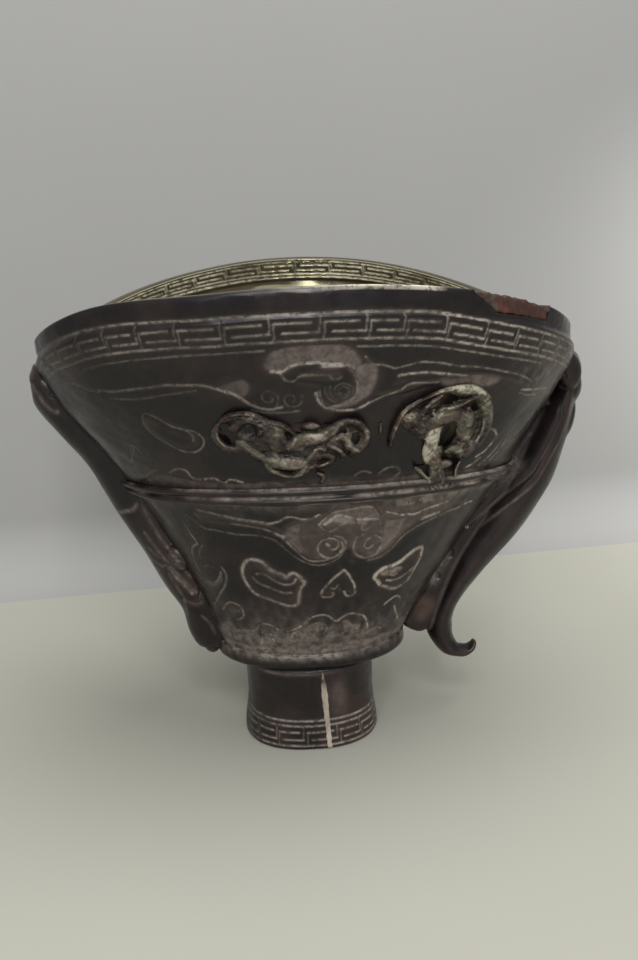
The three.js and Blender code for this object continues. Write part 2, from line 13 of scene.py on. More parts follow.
import bmesh
import bpy
import numpy as np
from mathutils import Matrix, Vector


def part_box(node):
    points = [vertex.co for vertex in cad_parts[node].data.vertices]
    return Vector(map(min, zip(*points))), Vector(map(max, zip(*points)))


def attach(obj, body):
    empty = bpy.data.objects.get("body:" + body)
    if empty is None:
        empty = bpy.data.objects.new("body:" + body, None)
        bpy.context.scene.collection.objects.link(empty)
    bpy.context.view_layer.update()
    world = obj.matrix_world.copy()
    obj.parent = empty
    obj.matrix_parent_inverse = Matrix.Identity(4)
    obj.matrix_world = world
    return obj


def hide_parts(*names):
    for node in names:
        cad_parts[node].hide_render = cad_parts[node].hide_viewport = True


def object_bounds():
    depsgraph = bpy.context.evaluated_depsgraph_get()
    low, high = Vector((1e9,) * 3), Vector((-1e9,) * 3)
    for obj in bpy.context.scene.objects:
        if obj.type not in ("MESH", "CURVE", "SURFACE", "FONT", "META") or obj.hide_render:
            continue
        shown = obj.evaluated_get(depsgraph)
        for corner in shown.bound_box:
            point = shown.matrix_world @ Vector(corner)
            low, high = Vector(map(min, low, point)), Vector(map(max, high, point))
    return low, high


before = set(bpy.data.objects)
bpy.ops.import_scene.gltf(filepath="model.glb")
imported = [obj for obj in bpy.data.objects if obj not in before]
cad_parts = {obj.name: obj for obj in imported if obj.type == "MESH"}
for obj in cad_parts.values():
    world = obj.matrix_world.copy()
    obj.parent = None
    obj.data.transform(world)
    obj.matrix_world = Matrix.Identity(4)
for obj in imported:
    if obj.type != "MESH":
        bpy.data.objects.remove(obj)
CAD_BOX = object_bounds()

MM = 0.001
BODY = "root"
QUICK_COARSER = 1
LOG = logging.getLogger("libation_cup")
Place = tuple[float, float]
Path = Sequence[Place]
# X of the foot's middle, now and when the marks on handle and spout were drawn
AXIS_X = (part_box("foot")[0].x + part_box("foot")[1].x) / 2 / MM
DRAWN_AXIS_X = -3.8
KEPT_NODES = ("bowl_floor_plug", "foot_dowel", "handle_peg_upper", "handle_peg_lower", "spout_peg_upper",
              "spout_peg_lower")


def trace(text: str) -> tuple[tuple[float, ...], ...]:
    """Reads a line: its places, with a comma between them."""
    return tuple(tuple(float(number) for number in place.split()) for place in text.split(","))


def traces(text: str) -> tuple[tuple[tuple[float, ...], ...], ...]:
    """Reads several lines, with a semicolon between them."""
    return tuple(trace(part) for part in text.split(";"))


# ---------------------------- form of the bowl


def between(low: float, high: float, share: np.ndarray) -> np.ndarray:
    """The value at a share of the way from low to high."""
    return low + (high - low) * share


def ease(value: np.ndarray) -> np.ndarray:
    """Smooth step from 0 to 1."""
    share = np.clip(value, 0, 1)
    return share * share * (3 - 2 * share)


def hump(value: np.ndarray, middle: float, width: float) -> np.ndarray:
    """A soft hump, 1 at its middle."""
    return np.exp(-(((value - middle) / width) ** 2))


def spline(knots: Sequence[np.ndarray], t: np.ndarray) -> np.ndarray:
    """Smooth value at a share t of the way from the second of four knots to the third."""
    before, start, end, after = knots
    return 0.5 * (2 * start + (end - before) * t + (2 * before - 5 * start + 4 * end - after) * t**2
                  + (3 * start - before - 3 * end + after) * t**3)


def through(values: Sequence[float], spots: np.ndarray) -> np.ndarray:
    """Smooth value through evenly spaced stations.

    Args:
        values: One value a station.
        spots: Where between the stations, from 0 to the last.

    Returns:
        The value at each spot.
    """
    values = np.asarray(values, float)
    last = len(values) - 1
    step = np.clip(np.floor(spots), 0, last - 1).astype(int)
    return spline([values[np.clip(step + k, 0, last)] for k in (-1, 0, 1, 2)], np.asarray(spots) - step)


def oval(degrees: np.ndarray, half_length: np.ndarray, half_depth: np.ndarray, power: float) -> tuple:
    """X and Y of a superellipse at an angle.

    Args:
        degrees: Angle round the cup.
        half_length: Half size along X.
        half_depth: Half size along Y.
        power: 2 for an ellipse, more for a fuller plan.

    Returns:
        The two coordinates, in millimetres.
    """
    angle = np.radians(degrees)
    cosine, sine = np.cos(angle), np.sin(angle)
    return (
        half_length * np.sign(cosine) * np.abs(cosine) ** (2 / power),
        half_depth * np.sign(sine) * np.abs(sine) ** (2 / power),
    )


@dataclass(frozen=True)
class WallForm:
    """Outer wall of the bowl, set by six stations from the ledge to the rim."""

    rim_length: float = 141.8
    rim_depth: float = 102.2
    rim_side: float = 130.4
    rim_end: float = 112.0
    base_length: float = 51.4
    base_depth: float = 34.2
    base_side: float = 27.7
    base_end: float = 28.8
    lean: float = 4.6
    power: float = 2.1
    near_dip: float = 0.9
    far_dip: float = 1.8
    softness: float = 0.2
    thickness: float = 4.0
    spout_lift: float = 2.4
    lift_level: float = 2.7
    lift_rise: float = 0.35
    length_shares: Sequence[float] = (0, 0.195, 0.57, 0.975, 0.995, 1)
    depth_shares: Sequence[float] = (0, 0.175, 0.525, 0.953, 0.994, 1)
    side_shares: Sequence[float] = (0, 0.178, 0.491, 0.882, 0.944, 1)
    end_shares: Sequence[float] = (0, 0.207, 0.561, 0.875, 0.957, 1)
    lean_shares: Sequence[float] = (0.17, 0.56, 1, 0.63, 0.5, 0.46)

    def side_height(self, level: np.ndarray) -> np.ndarray:
        """Height of a level at the middle of the side."""
        return between(self.base_side, self.rim_side, through(self.side_shares, level))

    def level_at(self, height: np.ndarray) -> np.ndarray:
        """Level that has a given height at the middle of the side."""
        levels = np.linspace(-0.1, 5.1, 1200)
        return np.interp(height, self.side_height(levels), levels)

    def dip(self, sine: np.ndarray) -> np.ndarray:
        """Share of the way from the end height (0) to the side height (1).

        Args:
            sine: Sine of the angle round the cup.

        Returns:
            The share, on the near side and the far side alike.
        """
        power = np.where(sine < 0, self.near_dip, self.far_dip)
        soft = self.softness**2

        def rise(square: np.ndarray) -> np.ndarray:
            """How far the power curve has risen at a squared sine."""
            return (square + soft) ** (power / 2) - soft ** (power / 2)

        return rise(sine**2) / rise(1.0)

    def lift(self, degrees: np.ndarray, level: np.ndarray) -> np.ndarray:
        """How far the upper wall rises to the spout, most on the near side."""
        angle = np.radians(degrees)
        side = (1 - 0.7 * ease(np.sin(angle) / 0.5)) * ease((-np.cos(angle) - 0.3) / 0.5)
        return self.spout_lift * ease((level - self.lift_level) / self.lift_rise) * side

    def point(self, degrees: np.ndarray, height: np.ndarray, out: float = 0.0) -> np.ndarray:
        """Place on the wall, or out from it.

        Args:
            degrees: Angle round the cup.
            height: Height at the middle of the side, which names the level.
            out: Distance outwards in plan.

        Returns:
            The point in the frame, in millimetres, on a last axis of three.
        """
        degrees, height = np.broadcast_arrays(np.asarray(degrees, float), np.asarray(height, float))
        level = self.level_at(height)
        half_length = between(self.base_length, self.rim_length, through(self.length_shares, level)) / 2
        half_depth = between(self.base_depth, self.rim_depth, through(self.depth_shares, level)) / 2
        x, y = oval(degrees, half_length + out, half_depth + out, self.power)
        end = between(self.base_end, self.rim_end, through(self.end_shares, level))
        z = between(end, height, self.dip(np.sin(np.radians(degrees)))) + self.lift(degrees, level)
        return np.stack([x + self.lean * through(self.lean_shares, level) + AXIS_X, y, z], -1)


WALL = WallForm()


def ring(half_length: float, half_depth: float, height: float, degrees: np.ndarray,
         lean: float = 0.0, power: float = 2.0) -> np.ndarray:
    """A level oval ring about the foot's axis.

    Args:
        half_length: Half size along X.
        half_depth: Half size along Y.
        height: Its height.
        degrees: Angles round the cup.
        lean: Shift along X.
        power: Fullness of the plan.

    Returns:
        One point an angle, in millimetres.
    """
    x, y = oval(degrees, half_length, half_depth, power)
    return np.stack([x + lean + AXIS_X, y, np.full_like(x, height)], -1)


def curve(points: Sequence, closed: bool = False, step: float = 0.3, per_degree: float = 1.0) -> np.ndarray:
    """Smooth line through points.

    Args:
        points: Places or points, of two or three numbers.
        closed: Whether it returns to its start.
        step: Distance between the samples, in mm.
        per_degree: How many mm a degree is worth, for places.

    Returns:
        The samples, one a row.
    """
    knots = np.asarray(points, float)
    scale = np.array([per_degree, 1.0, 1.0][: knots.shape[1]])
    count = len(knots) if closed else len(knots) - 1
    rows = []
    for index in range(count):
        around = [index - 1, index, index + 1, index + 2]
        near = knots[[k % len(knots) if closed else min(max(k, 0), len(knots) - 1) for k in around]]
        steps = max(2, math.ceil(np.linalg.norm((near[2] - near[1]) * scale) / step))
        rows.append(spline(near, (np.arange(steps) / steps)[:, None]))
    if not closed:
        rows.append(knots[-1:])
    return np.concatenate(rows)


# ---------------------------- carving


@dataclass(frozen=True)
class Cut:
    """What one tool leaves: half the width of the line and its depth, and the wax that stays in it."""

    half_width: float
    depth: float
    wax: float
    burr: float = 0.12


class Tool(Enum):
    """The carver's tools, from a scratch to a wide gouge."""

    HAIR = Cut(0.2, 0.12, 0.22)
    SCRATCH = Cut(0.2, 0.12, 0.42)
    FINE = Cut(0.2, 0.2, 0.8)
    LINE = Cut(0.25, 0.26, 0.85)
    GRAVER = Cut(0.42, 0.42, 1.1)
    SCOOP = Cut(1.1, 0.6, 0.4, 0.0)
    STRAND = Cut(0.42, -0.45, 0.0, 0.0)
    SHADOW = Cut(0.5, 0.34, 0.0, 0.0)


@dataclass(frozen=True)
class Mass:
    """A rounded mass of a relief, along places that each have a size, 1 for the full one."""

    path: Sequence[tuple[float, float, float]]
    half_width: float
    proud: float
    fullness: float = 0.55
    closed: bool = False

    def height(self, skin: "Skin") -> np.ndarray:
        """How far it stands out at each point of a skin.

        Args:
            skin: The wall.

        Returns:
            The height in mm, 0 beside the mass.
        """
        samples = curve(self.path, self.closed, 0.4, skin.per_degree)
        spots = skin.place(samples[:, 0], samples[:, 1])
        found = np.zeros(skin.points.shape[:2])
        reach = self.half_width * samples[:, 2].max() + 0.5
        for spot, size in zip(spots, np.clip(samples[:, 2], 0.05, None), strict=True):
            near = (np.abs(skin.points - spot) < reach).all(-1)
            rows, columns = np.nonzero(near.any(1))[0], np.nonzero(near.any(0))[0]
            if not len(rows) or not len(columns):
                continue
            window = np.ix_(range(rows[0], rows[-1] + 1), range(columns[0], columns[-1] + 1))
            square = ((skin.points[window] - spot) ** 2).sum(-1) / (self.half_width * size) ** 2
            found[window] = np.maximum(found[window],
                                       self.proud * size**0.7 * np.maximum(0, 1 - square) ** self.fullness)
        return found


@dataclass(frozen=True)
class Ground:
    """A patch that is cut back or left standing, with soft edges, and how pale its dust is."""

    outline: Path
    depth: float
    edge: float = 0.8
    wax: float = 0.0
    dust: float = 0.0


class Skin:
    """A dense stretch of wall on rows of height and columns of angle, which tools cut into."""

    samples_at_once = 10
    reach_of_cut = 3.4

    def __init__(self, place: Callable[[np.ndarray, np.ndarray], np.ndarray], heights: np.ndarray,
                 degrees: np.ndarray, outward: float = 1.0, per_degree: float = 1.0) -> None:
        """Lays out the rows and columns.

        Args:
            place: Gives the mm points of angles and heights.
            heights: One height a row.
            degrees: One angle a column, all the way round or part of it.
            outward: 1 where the carved face looks out from the cup, -1 where it looks in.
            per_degree: Mm in a degree, roughly.
        """
        self.place, self.heights, self.degrees = place, heights, degrees
        self.outward, self.per_degree = outward, per_degree
        self.toward = np.zeros(3)
        self.smear, self.hollow_dust = 0.32, 0.55
        self.points = place(degrees[None, :], heights[:, None])
        self.turn = degrees[1] - degrees[0]
        self.round = abs(degrees[-1] - degrees[0]) + self.turn > 359.5
        across = np.linalg.norm(np.diff(self.points, axis=1), axis=-1)
        self.column_step = np.maximum(np.concatenate([across, across[:, -1:]], 1), 0.05)
        self.row_step = np.maximum(np.linalg.norm(np.diff(self.points, axis=0), axis=-1).mean(1), 0.05)
        self.level, self.cuts, self.raised, self.relief, self.wax, self.dust = (
            np.zeros(self.points.shape[:2]) for _ in range(6))

    def distance(self, places: np.ndarray, reach: float) -> np.ndarray:
        """Distance of each grid point from a sampled line.

        Args:
            places: Samples of the line, in degrees and mm.
            reach: Beyond this the distance isn't worked out.

        Returns:
            The distances, with twice the reach where the line is far.
        """
        count = len(self.degrees)
        found = np.full(self.points.shape[:2], 2.0 * reach)
        spots = self.place(places[:, 0], places[:, 1])
        rows = np.interp(places[:, 1], self.heights, np.arange(len(self.heights)))
        columns = (places[:, 0] - self.degrees[0]) / self.turn
        for start in range(0, len(places), self.samples_at_once):
            part = slice(start, start + self.samples_at_once)
            middle = int(rows[part].mean())
            tall = reach / self.row_step[min(middle, len(self.row_step) - 1)] + 2
            wide = reach / self.column_step[middle, int(columns[part].mean()) % count] + 2
            first = max(0, int(rows[part].min() - tall))
            last = min(len(self.heights), int(rows[part].max() + tall) + 2)
            span = np.arange(int(np.floor(columns[part].min() - wide)), int(columns[part].max() + wide) + 2)
            span = span % count if self.round else span[(span >= 0) & (span < count)]
            if last <= first or not len(span):
                continue
            block = self.points[first:last, span]
            near = np.sqrt(((block[:, :, None, :] - spots[part]) ** 2).sum(-1)).min(-1)
            found[first:last, span] = np.minimum(found[first:last, span], near)
        return found

    def engrave(self, tool: Tool, paths: Sequence[Path], closed: bool = False,
                straight: bool = False) -> None:
        """Cuts lines into the wall with one tool.

        Args:
            tool: Which tool.
            paths: Lines as places.
            closed: Whether each line returns to its start.
            straight: Whether the lines keep their corners.
        """
        cut = tool.value
        reach = cut.half_width * self.reach_of_cut
        found = np.full(self.points.shape[:2], 2 * reach)
        for path in paths:
            pairs = zip(path[:-1], path[1:], strict=True) if straight else [path]
            for piece in pairs:
                line = curve(piece, closed, per_degree=self.per_degree)
                found = np.minimum(found, self.distance(line, reach))
        share = found / cut.half_width
        profile = -cut.depth * np.exp(-(share**2))
        if cut.depth < 0:
            self.raised = np.maximum(self.raised, profile)
        else:
            self.cuts = np.minimum(self.cuts, profile)
        self.level += cut.burr * abs(cut.depth) * np.exp(-(((share - 1.7) / 0.6) ** 2))
        self.wax = np.maximum(self.wax, cut.wax * ease((1.5 - share) / 0.7))
        self.dust = np.maximum(self.dust, self.smear * cut.wax * ease((3.3 - share) / 2.3))

    def clear(self, ground: Ground, mirrored: bool = False) -> None:
        """Cuts a patch back, or leaves it standing where its depth is negative.

        Args:
            ground: The patch.
            mirrored: Whether it goes on the far side.
        """
        outline = np.asarray(ground.outline, float) * ((-1, 1) if mirrored else (1, 1))
        line = curve(outline, True, per_degree=self.per_degree)
        edge = self.distance(line, ground.edge + 0.6)
        inside = np.zeros(edge.shape, bool)
        rows = (self.heights > line[:, 1].min()) & (self.heights < line[:, 1].max())
        first_turn = self.degrees[0]
        turns = (line[:, 0] - first_turn) % 360 + first_turn if self.round else line[:, 0]
        if turns.max() - turns.min() > 200:
            turns = np.where(turns > turns.mean(), turns - 360, turns)
        columns = (self.degrees > turns.min()) & (self.degrees < turns.max())
        grid_x = self.degrees[columns][None, :]
        grid_y = self.heights[rows][:, None]
        odd = np.zeros((rows.sum(), columns.sum()), bool)
        corners = np.stack([turns, line[:, 1]], 1)
        for (x0, y0), (x1, y1) in zip(corners, np.roll(corners, -1, 0), strict=True):
            if y0 == y1:
                continue
            odd ^= ((y0 > grid_y) != (y1 > grid_y)) & (grid_x < (x1 - x0) * (grid_y - y0) / (y1 - y0) + x0)
        inside[np.ix_(rows, columns)] = odd
        share = np.where(inside, ease(0.5 + 0.5 * edge / ground.edge), ease(0.5 - 0.5 * edge / ground.edge))
        self.level -= ground.depth * share
        self.wax = np.maximum(self.wax, ground.wax * share)
        self.dust = np.maximum(self.dust, ground.dust * share)

    def carved(self) -> np.ndarray:
        """Points of the wall with the carving in it.

        Returns:
            The points, in millimetres.
        """
        around = np.gradient(self.points, axis=1)
        if self.round:
            around[:, 0] = self.points[:, 1] - self.points[:, -1]
            around[:, -1] = self.points[:, 0] - self.points[:, -2]
        normal = np.cross(around, np.gradient(self.points, axis=0))
        normal *= self.outward / np.maximum(np.linalg.norm(normal, axis=-1, keepdims=True), 1e-9)
        total = self.level + self.raised + self.cuts
        return self.points + normal * total[..., None] + self.toward * self.relief[..., None]

    def masks(self) -> np.ndarray:
        """Wax, dust, and wear with a painted highlight on the proud places, of each point.

        Returns:
            Four values a point, where the last is spare.
        """
        relief = self.level + self.raised + self.cuts + self.relief
        soft = blurred(relief, 5, self.round)
        hollow = np.clip((soft - relief - 0.03) / 0.25, 0, 1)
        # Proud places later lighten the colour: rubbed wear and a painted highlight.
        proud = np.clip((relief - soft - 0.02) / 0.18, 0, 1)
        dust = np.maximum(self.dust, self.hollow_dust * hollow)
        return np.stack([self.wax, dust, proud, np.ones_like(relief)], -1)

    def rows(self) -> tuple[np.ndarray, np.ndarray]:
        """The carved points and their masks."""
        return self.carved(), self.masks()

    def add_dust(self, amount: np.ndarray, most: float = 1.0) -> None:
        """Leaves dust where there isn't more already."""
        self.dust = np.maximum(self.dust, np.clip(amount, 0, most))

    def add_wax(self, amount: np.ndarray, most: float = 1.0) -> None:
        """Leaves wax where there isn't more already."""
        self.wax = np.maximum(self.wax, np.clip(amount, 0, most))

    def along(self, text: str) -> np.ndarray:
        """A value that changes with the angle, alike on both sides of the cup."""
        return np.interp(-abs(self.degrees), *zip(*trace(text), strict=True))


def blurred(values: np.ndarray, reach: int, around: bool) -> np.ndarray:
    """Box blur of a grid.

    Args:
        values: The grid.
        reach: Half the window, in cells.
        around: Whether the columns close on themselves.

    Returns:
        The blurred grid.
    """
    for _ in range(2):
        padded = np.pad(values, ((reach, reach), (0, 0)), "edge")
        total = np.cumsum(np.concatenate([np.zeros((1, padded.shape[1])), padded]), 0)
        values = (total[2 * reach + 1:] - total[: -2 * reach - 1]) / (2 * reach + 1)
        padded = np.pad(values, ((0, 0), (reach, reach)), "wrap" if around else "edge")
        total = np.cumsum(np.concatenate([np.zeros((padded.shape[0], 1)), padded], 1), 1)
        values = (total[:, 2 * reach + 1:] - total[:, : -2 * reach - 1]) / (2 * reach + 1)
    return values


def volute(centre: Place, outer: float, inner: float, turns: float, start: float, hand: int,
           per_degree: float) -> list[Place]:
    """A spiral line.

    Args:
        centre: Its middle.
        outer: Radius at its start, in mm.
        inner: Radius at its end.
        turns: How often it goes round.
        start: Direction of its start, in degrees from the right, anticlockwise as seen from outside.
        hand: 1 to wind anticlockwise, -1 clockwise.
        per_degree: Mm in a degree.

    Returns:
        Its places.
    """
    count = max(8, round(14 * turns))
    share = np.arange(count + 1) / count
    angle = np.radians(start) + hand * 2 * np.pi * turns * share
    radius = outer * (inner / outer) ** share
    return [(centre[0] + r * math.cos(a) / per_degree, centre[1] + r * math.sin(a) * 0.94)
            for r, a in zip(radius, angle, strict=True)]


@dataclass(frozen=True)
class FretBand:
    """A band of key fret: each key is a hook down from the upper line and a hook up from the lower one."""

    units: int
    first: float
    low: float
    high: float
    lower_stroke: float
    upper_stroke: float
    pair: float
    margin: float
    slant: float = 0.4
    uneven: bool = True
    stroke: Tool = Tool.LINE
    lean: Sequence[Place] = ((-180.0, 0.0), (180.0, 0.0))

    def shifted(self, degrees: float, height: float) -> Place:
        """The place with the band's hand-cut lean added."""
        around = (degrees + 180) % 360 - 180
        return degrees, height + float(np.interp(around, *zip(*self.lean, strict=True)))

    def border(self, height: float) -> list[Place]:
        """A line right round the cup at one height of the band."""
        return [self.shifted(-180 + 4.0 * k, height) for k in range(91)]

    def at(self, degrees: float) -> float:
        """Where a key that is meant for an angle was really cut."""
        around = (degrees + 180) % 360 - 180
        meant, cut = zip(*HAND_WARP, strict=True)
        if not self.uneven:
            return degrees
        return degrees + float(np.interp(around, meant, cut, left=around, right=around)) - around

    def cut(self, skin: Skin) -> None:
        """Cuts the two hooks of every key.

        Args:
            skin: The wall.
        """
        pitch = 360 / self.units
        strokes, posts = [], []
        for unit in range(self.units):
            turn = self.at(self.first + unit * pitch)
            before, after = self.at(self.first + (unit - 1) * pitch), self.at(self.first + (unit + 1) * pitch)
            down, up = turn, turn + self.pair
            strokes += [[(before + self.pair + self.margin, self.lower_stroke), (down, self.lower_stroke)],
                        [(up, self.upper_stroke), (after - self.margin, self.upper_stroke)]]
            posts += [[(down, self.lower_stroke), (down + self.slant, self.high)],
                      [(up - self.slant, self.low), (up, self.upper_stroke)]]
        skin.engrave(self.stroke, [[self.shifted(*place) for place in line] for line in strokes])
        skin.engrave(Tool.SCRATCH, [[self.shifted(*place) for place in line] for line in posts])


# ---------------------------- meshes


def grid_faces(rows: int, columns: int, close_rows: bool = False, close_columns: bool = True) -> np.ndarray:
    """Corner numbers of the squares of a grid.

    Args:
        rows: Rows of points.
        columns: Points a row.
        close_rows: Whether the last row joins the first.
        close_columns: Whether the last column joins the first, as round the cup.

    Returns:
        Four numbers a face, facing outwards where rows go up the outside.
    """
    row = np.arange(rows if close_rows else rows - 1)[:, None] * columns
    column = np.arange(columns if close_columns else columns - 1)[None, :]
    above, after = (row + columns) % (rows * columns), (column + 1) % columns
    return np.stack([row + column, row + after, above + after, above + column], -1).reshape(-1, 4)


def make_mesh(name: str, points: np.ndarray, faces: np.ndarray, masks: np.ndarray | None = None,
              finish: np.ndarray | None = None) -> bpy.types.Object:
    """Object from points in millimetres.

    Args:
        name: Its name.
        points: One point a row.
        faces: Corner numbers, three or four a row.
        masks: Four values a point for the finish.
        finish: Number of its finish for each face.

    Returns:
        The linked object.
    """
    mesh = bpy.data.meshes.new(name)
    corners = faces.shape[1]
    mesh.vertices.add(len(points))
    mesh.vertices.foreach_set("co", (points * MM).astype(np.float32).ravel())
    mesh.loops.add(faces.size)
    mesh.loops.foreach_set("vertex_index", faces.astype(np.int32).ravel())
    mesh.polygons.add(len(faces))
    mesh.polygons.foreach_set("loop_start", np.arange(0, faces.size, corners, dtype=np.int32))
    if finish is not None:
        mesh.polygons.foreach_set("material_index", finish.astype(np.int32))
    mesh.update(calc_edges=True)
    if masks is not None:
        store_masks(mesh, masks)
    obj = bpy.data.objects.new(name, mesh)
    bpy.context.scene.collection.objects.link(obj)
    return obj


def store_masks(mesh: bpy.types.Mesh, masks: np.ndarray) -> None:
    """Keeps wax, dust, and wear with a painted highlight, on the mesh's points.

    Args:
        mesh: The mesh.
        masks: Four values a point.
    """
    layer = mesh.color_attributes.new("Carving", "FLOAT_COLOR", "POINT")
    layer.data.foreach_set("color", masks.astype(np.float32).ravel())


def close_holes(obj: bpy.types.Object) -> None:
    """Drops the loose points of a mesh and shuts its open edges."""
    work = bmesh.new()
    work.from_mesh(obj.data)
    bmesh.ops.delete(work, geom=[v for v in work.verts if not v.link_faces], context="VERTS")
    bmesh.ops.holes_fill(work, edges=[e for e in work.edges if e.is_boundary], sides=0)
    work.to_mesh(obj.data)
    work.free()
    obj.data.shade_smooth()


def tidy_mesh(obj: bpy.types.Object, most_faces: int = 0) -> bpy.types.Object:
    """Merges doubled points, thins a mesh that is too fine, and shades it smooth.

    Args:
        obj: The object.
        most_faces: Triangles to stay under, or 0 to keep all.

    Returns:
        The same object.
    """
    work = bmesh.new()
    work.from_mesh(obj.data)
    bmesh.ops.remove_doubles(work, verts=work.verts, dist=2e-6)
    bmesh.ops.dissolve_degenerate(work, edges=work.edges, dist=1e-6)
    bmesh.ops.recalc_face_normals(work, faces=work.faces)
    work.to_mesh(obj.data)
    work.free()
    triangles = sum(p.loop_total - 2 for p in obj.data.polygons)
    if most_faces and triangles > most_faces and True:
        thin = obj.modifiers.new("thin", "DECIMATE")
        thin.ratio = most_faces / triangles
        apply_modifiers(obj)
    obj.data.shade_smooth()
    return obj


def apply_modifiers(obj: bpy.types.Object) -> None:
    """Replaces the object's mesh by what its modifiers make of it."""
    evaluated = obj.evaluated_get(bpy.context.evaluated_depsgraph_get())
    made = bpy.data.meshes.new_from_object(evaluated)
    obj.modifiers.clear()
    obj.data = made


# ---------------------------- sculpted pieces


@dataclass(frozen=True)
class Ring:
    """One section of a strap: its middle, the directions of its height and width, and the half sizes."""

    middle: np.ndarray
    out: np.ndarray
    across: np.ndarray
    high: float
    wide: float


@dataclass(frozen=True)
class SideMark:
    """Lines in the long plane, cut or dusted on both sides of a piece beyond a distance from it."""

    paths: Sequence[Path]
    half_width: float
    beyond: float = 0.0
    depth: float = 0.0
    wax: float = 0.0
    dust: float = 0.0
    rubbed_and_highlit: float = 0.0


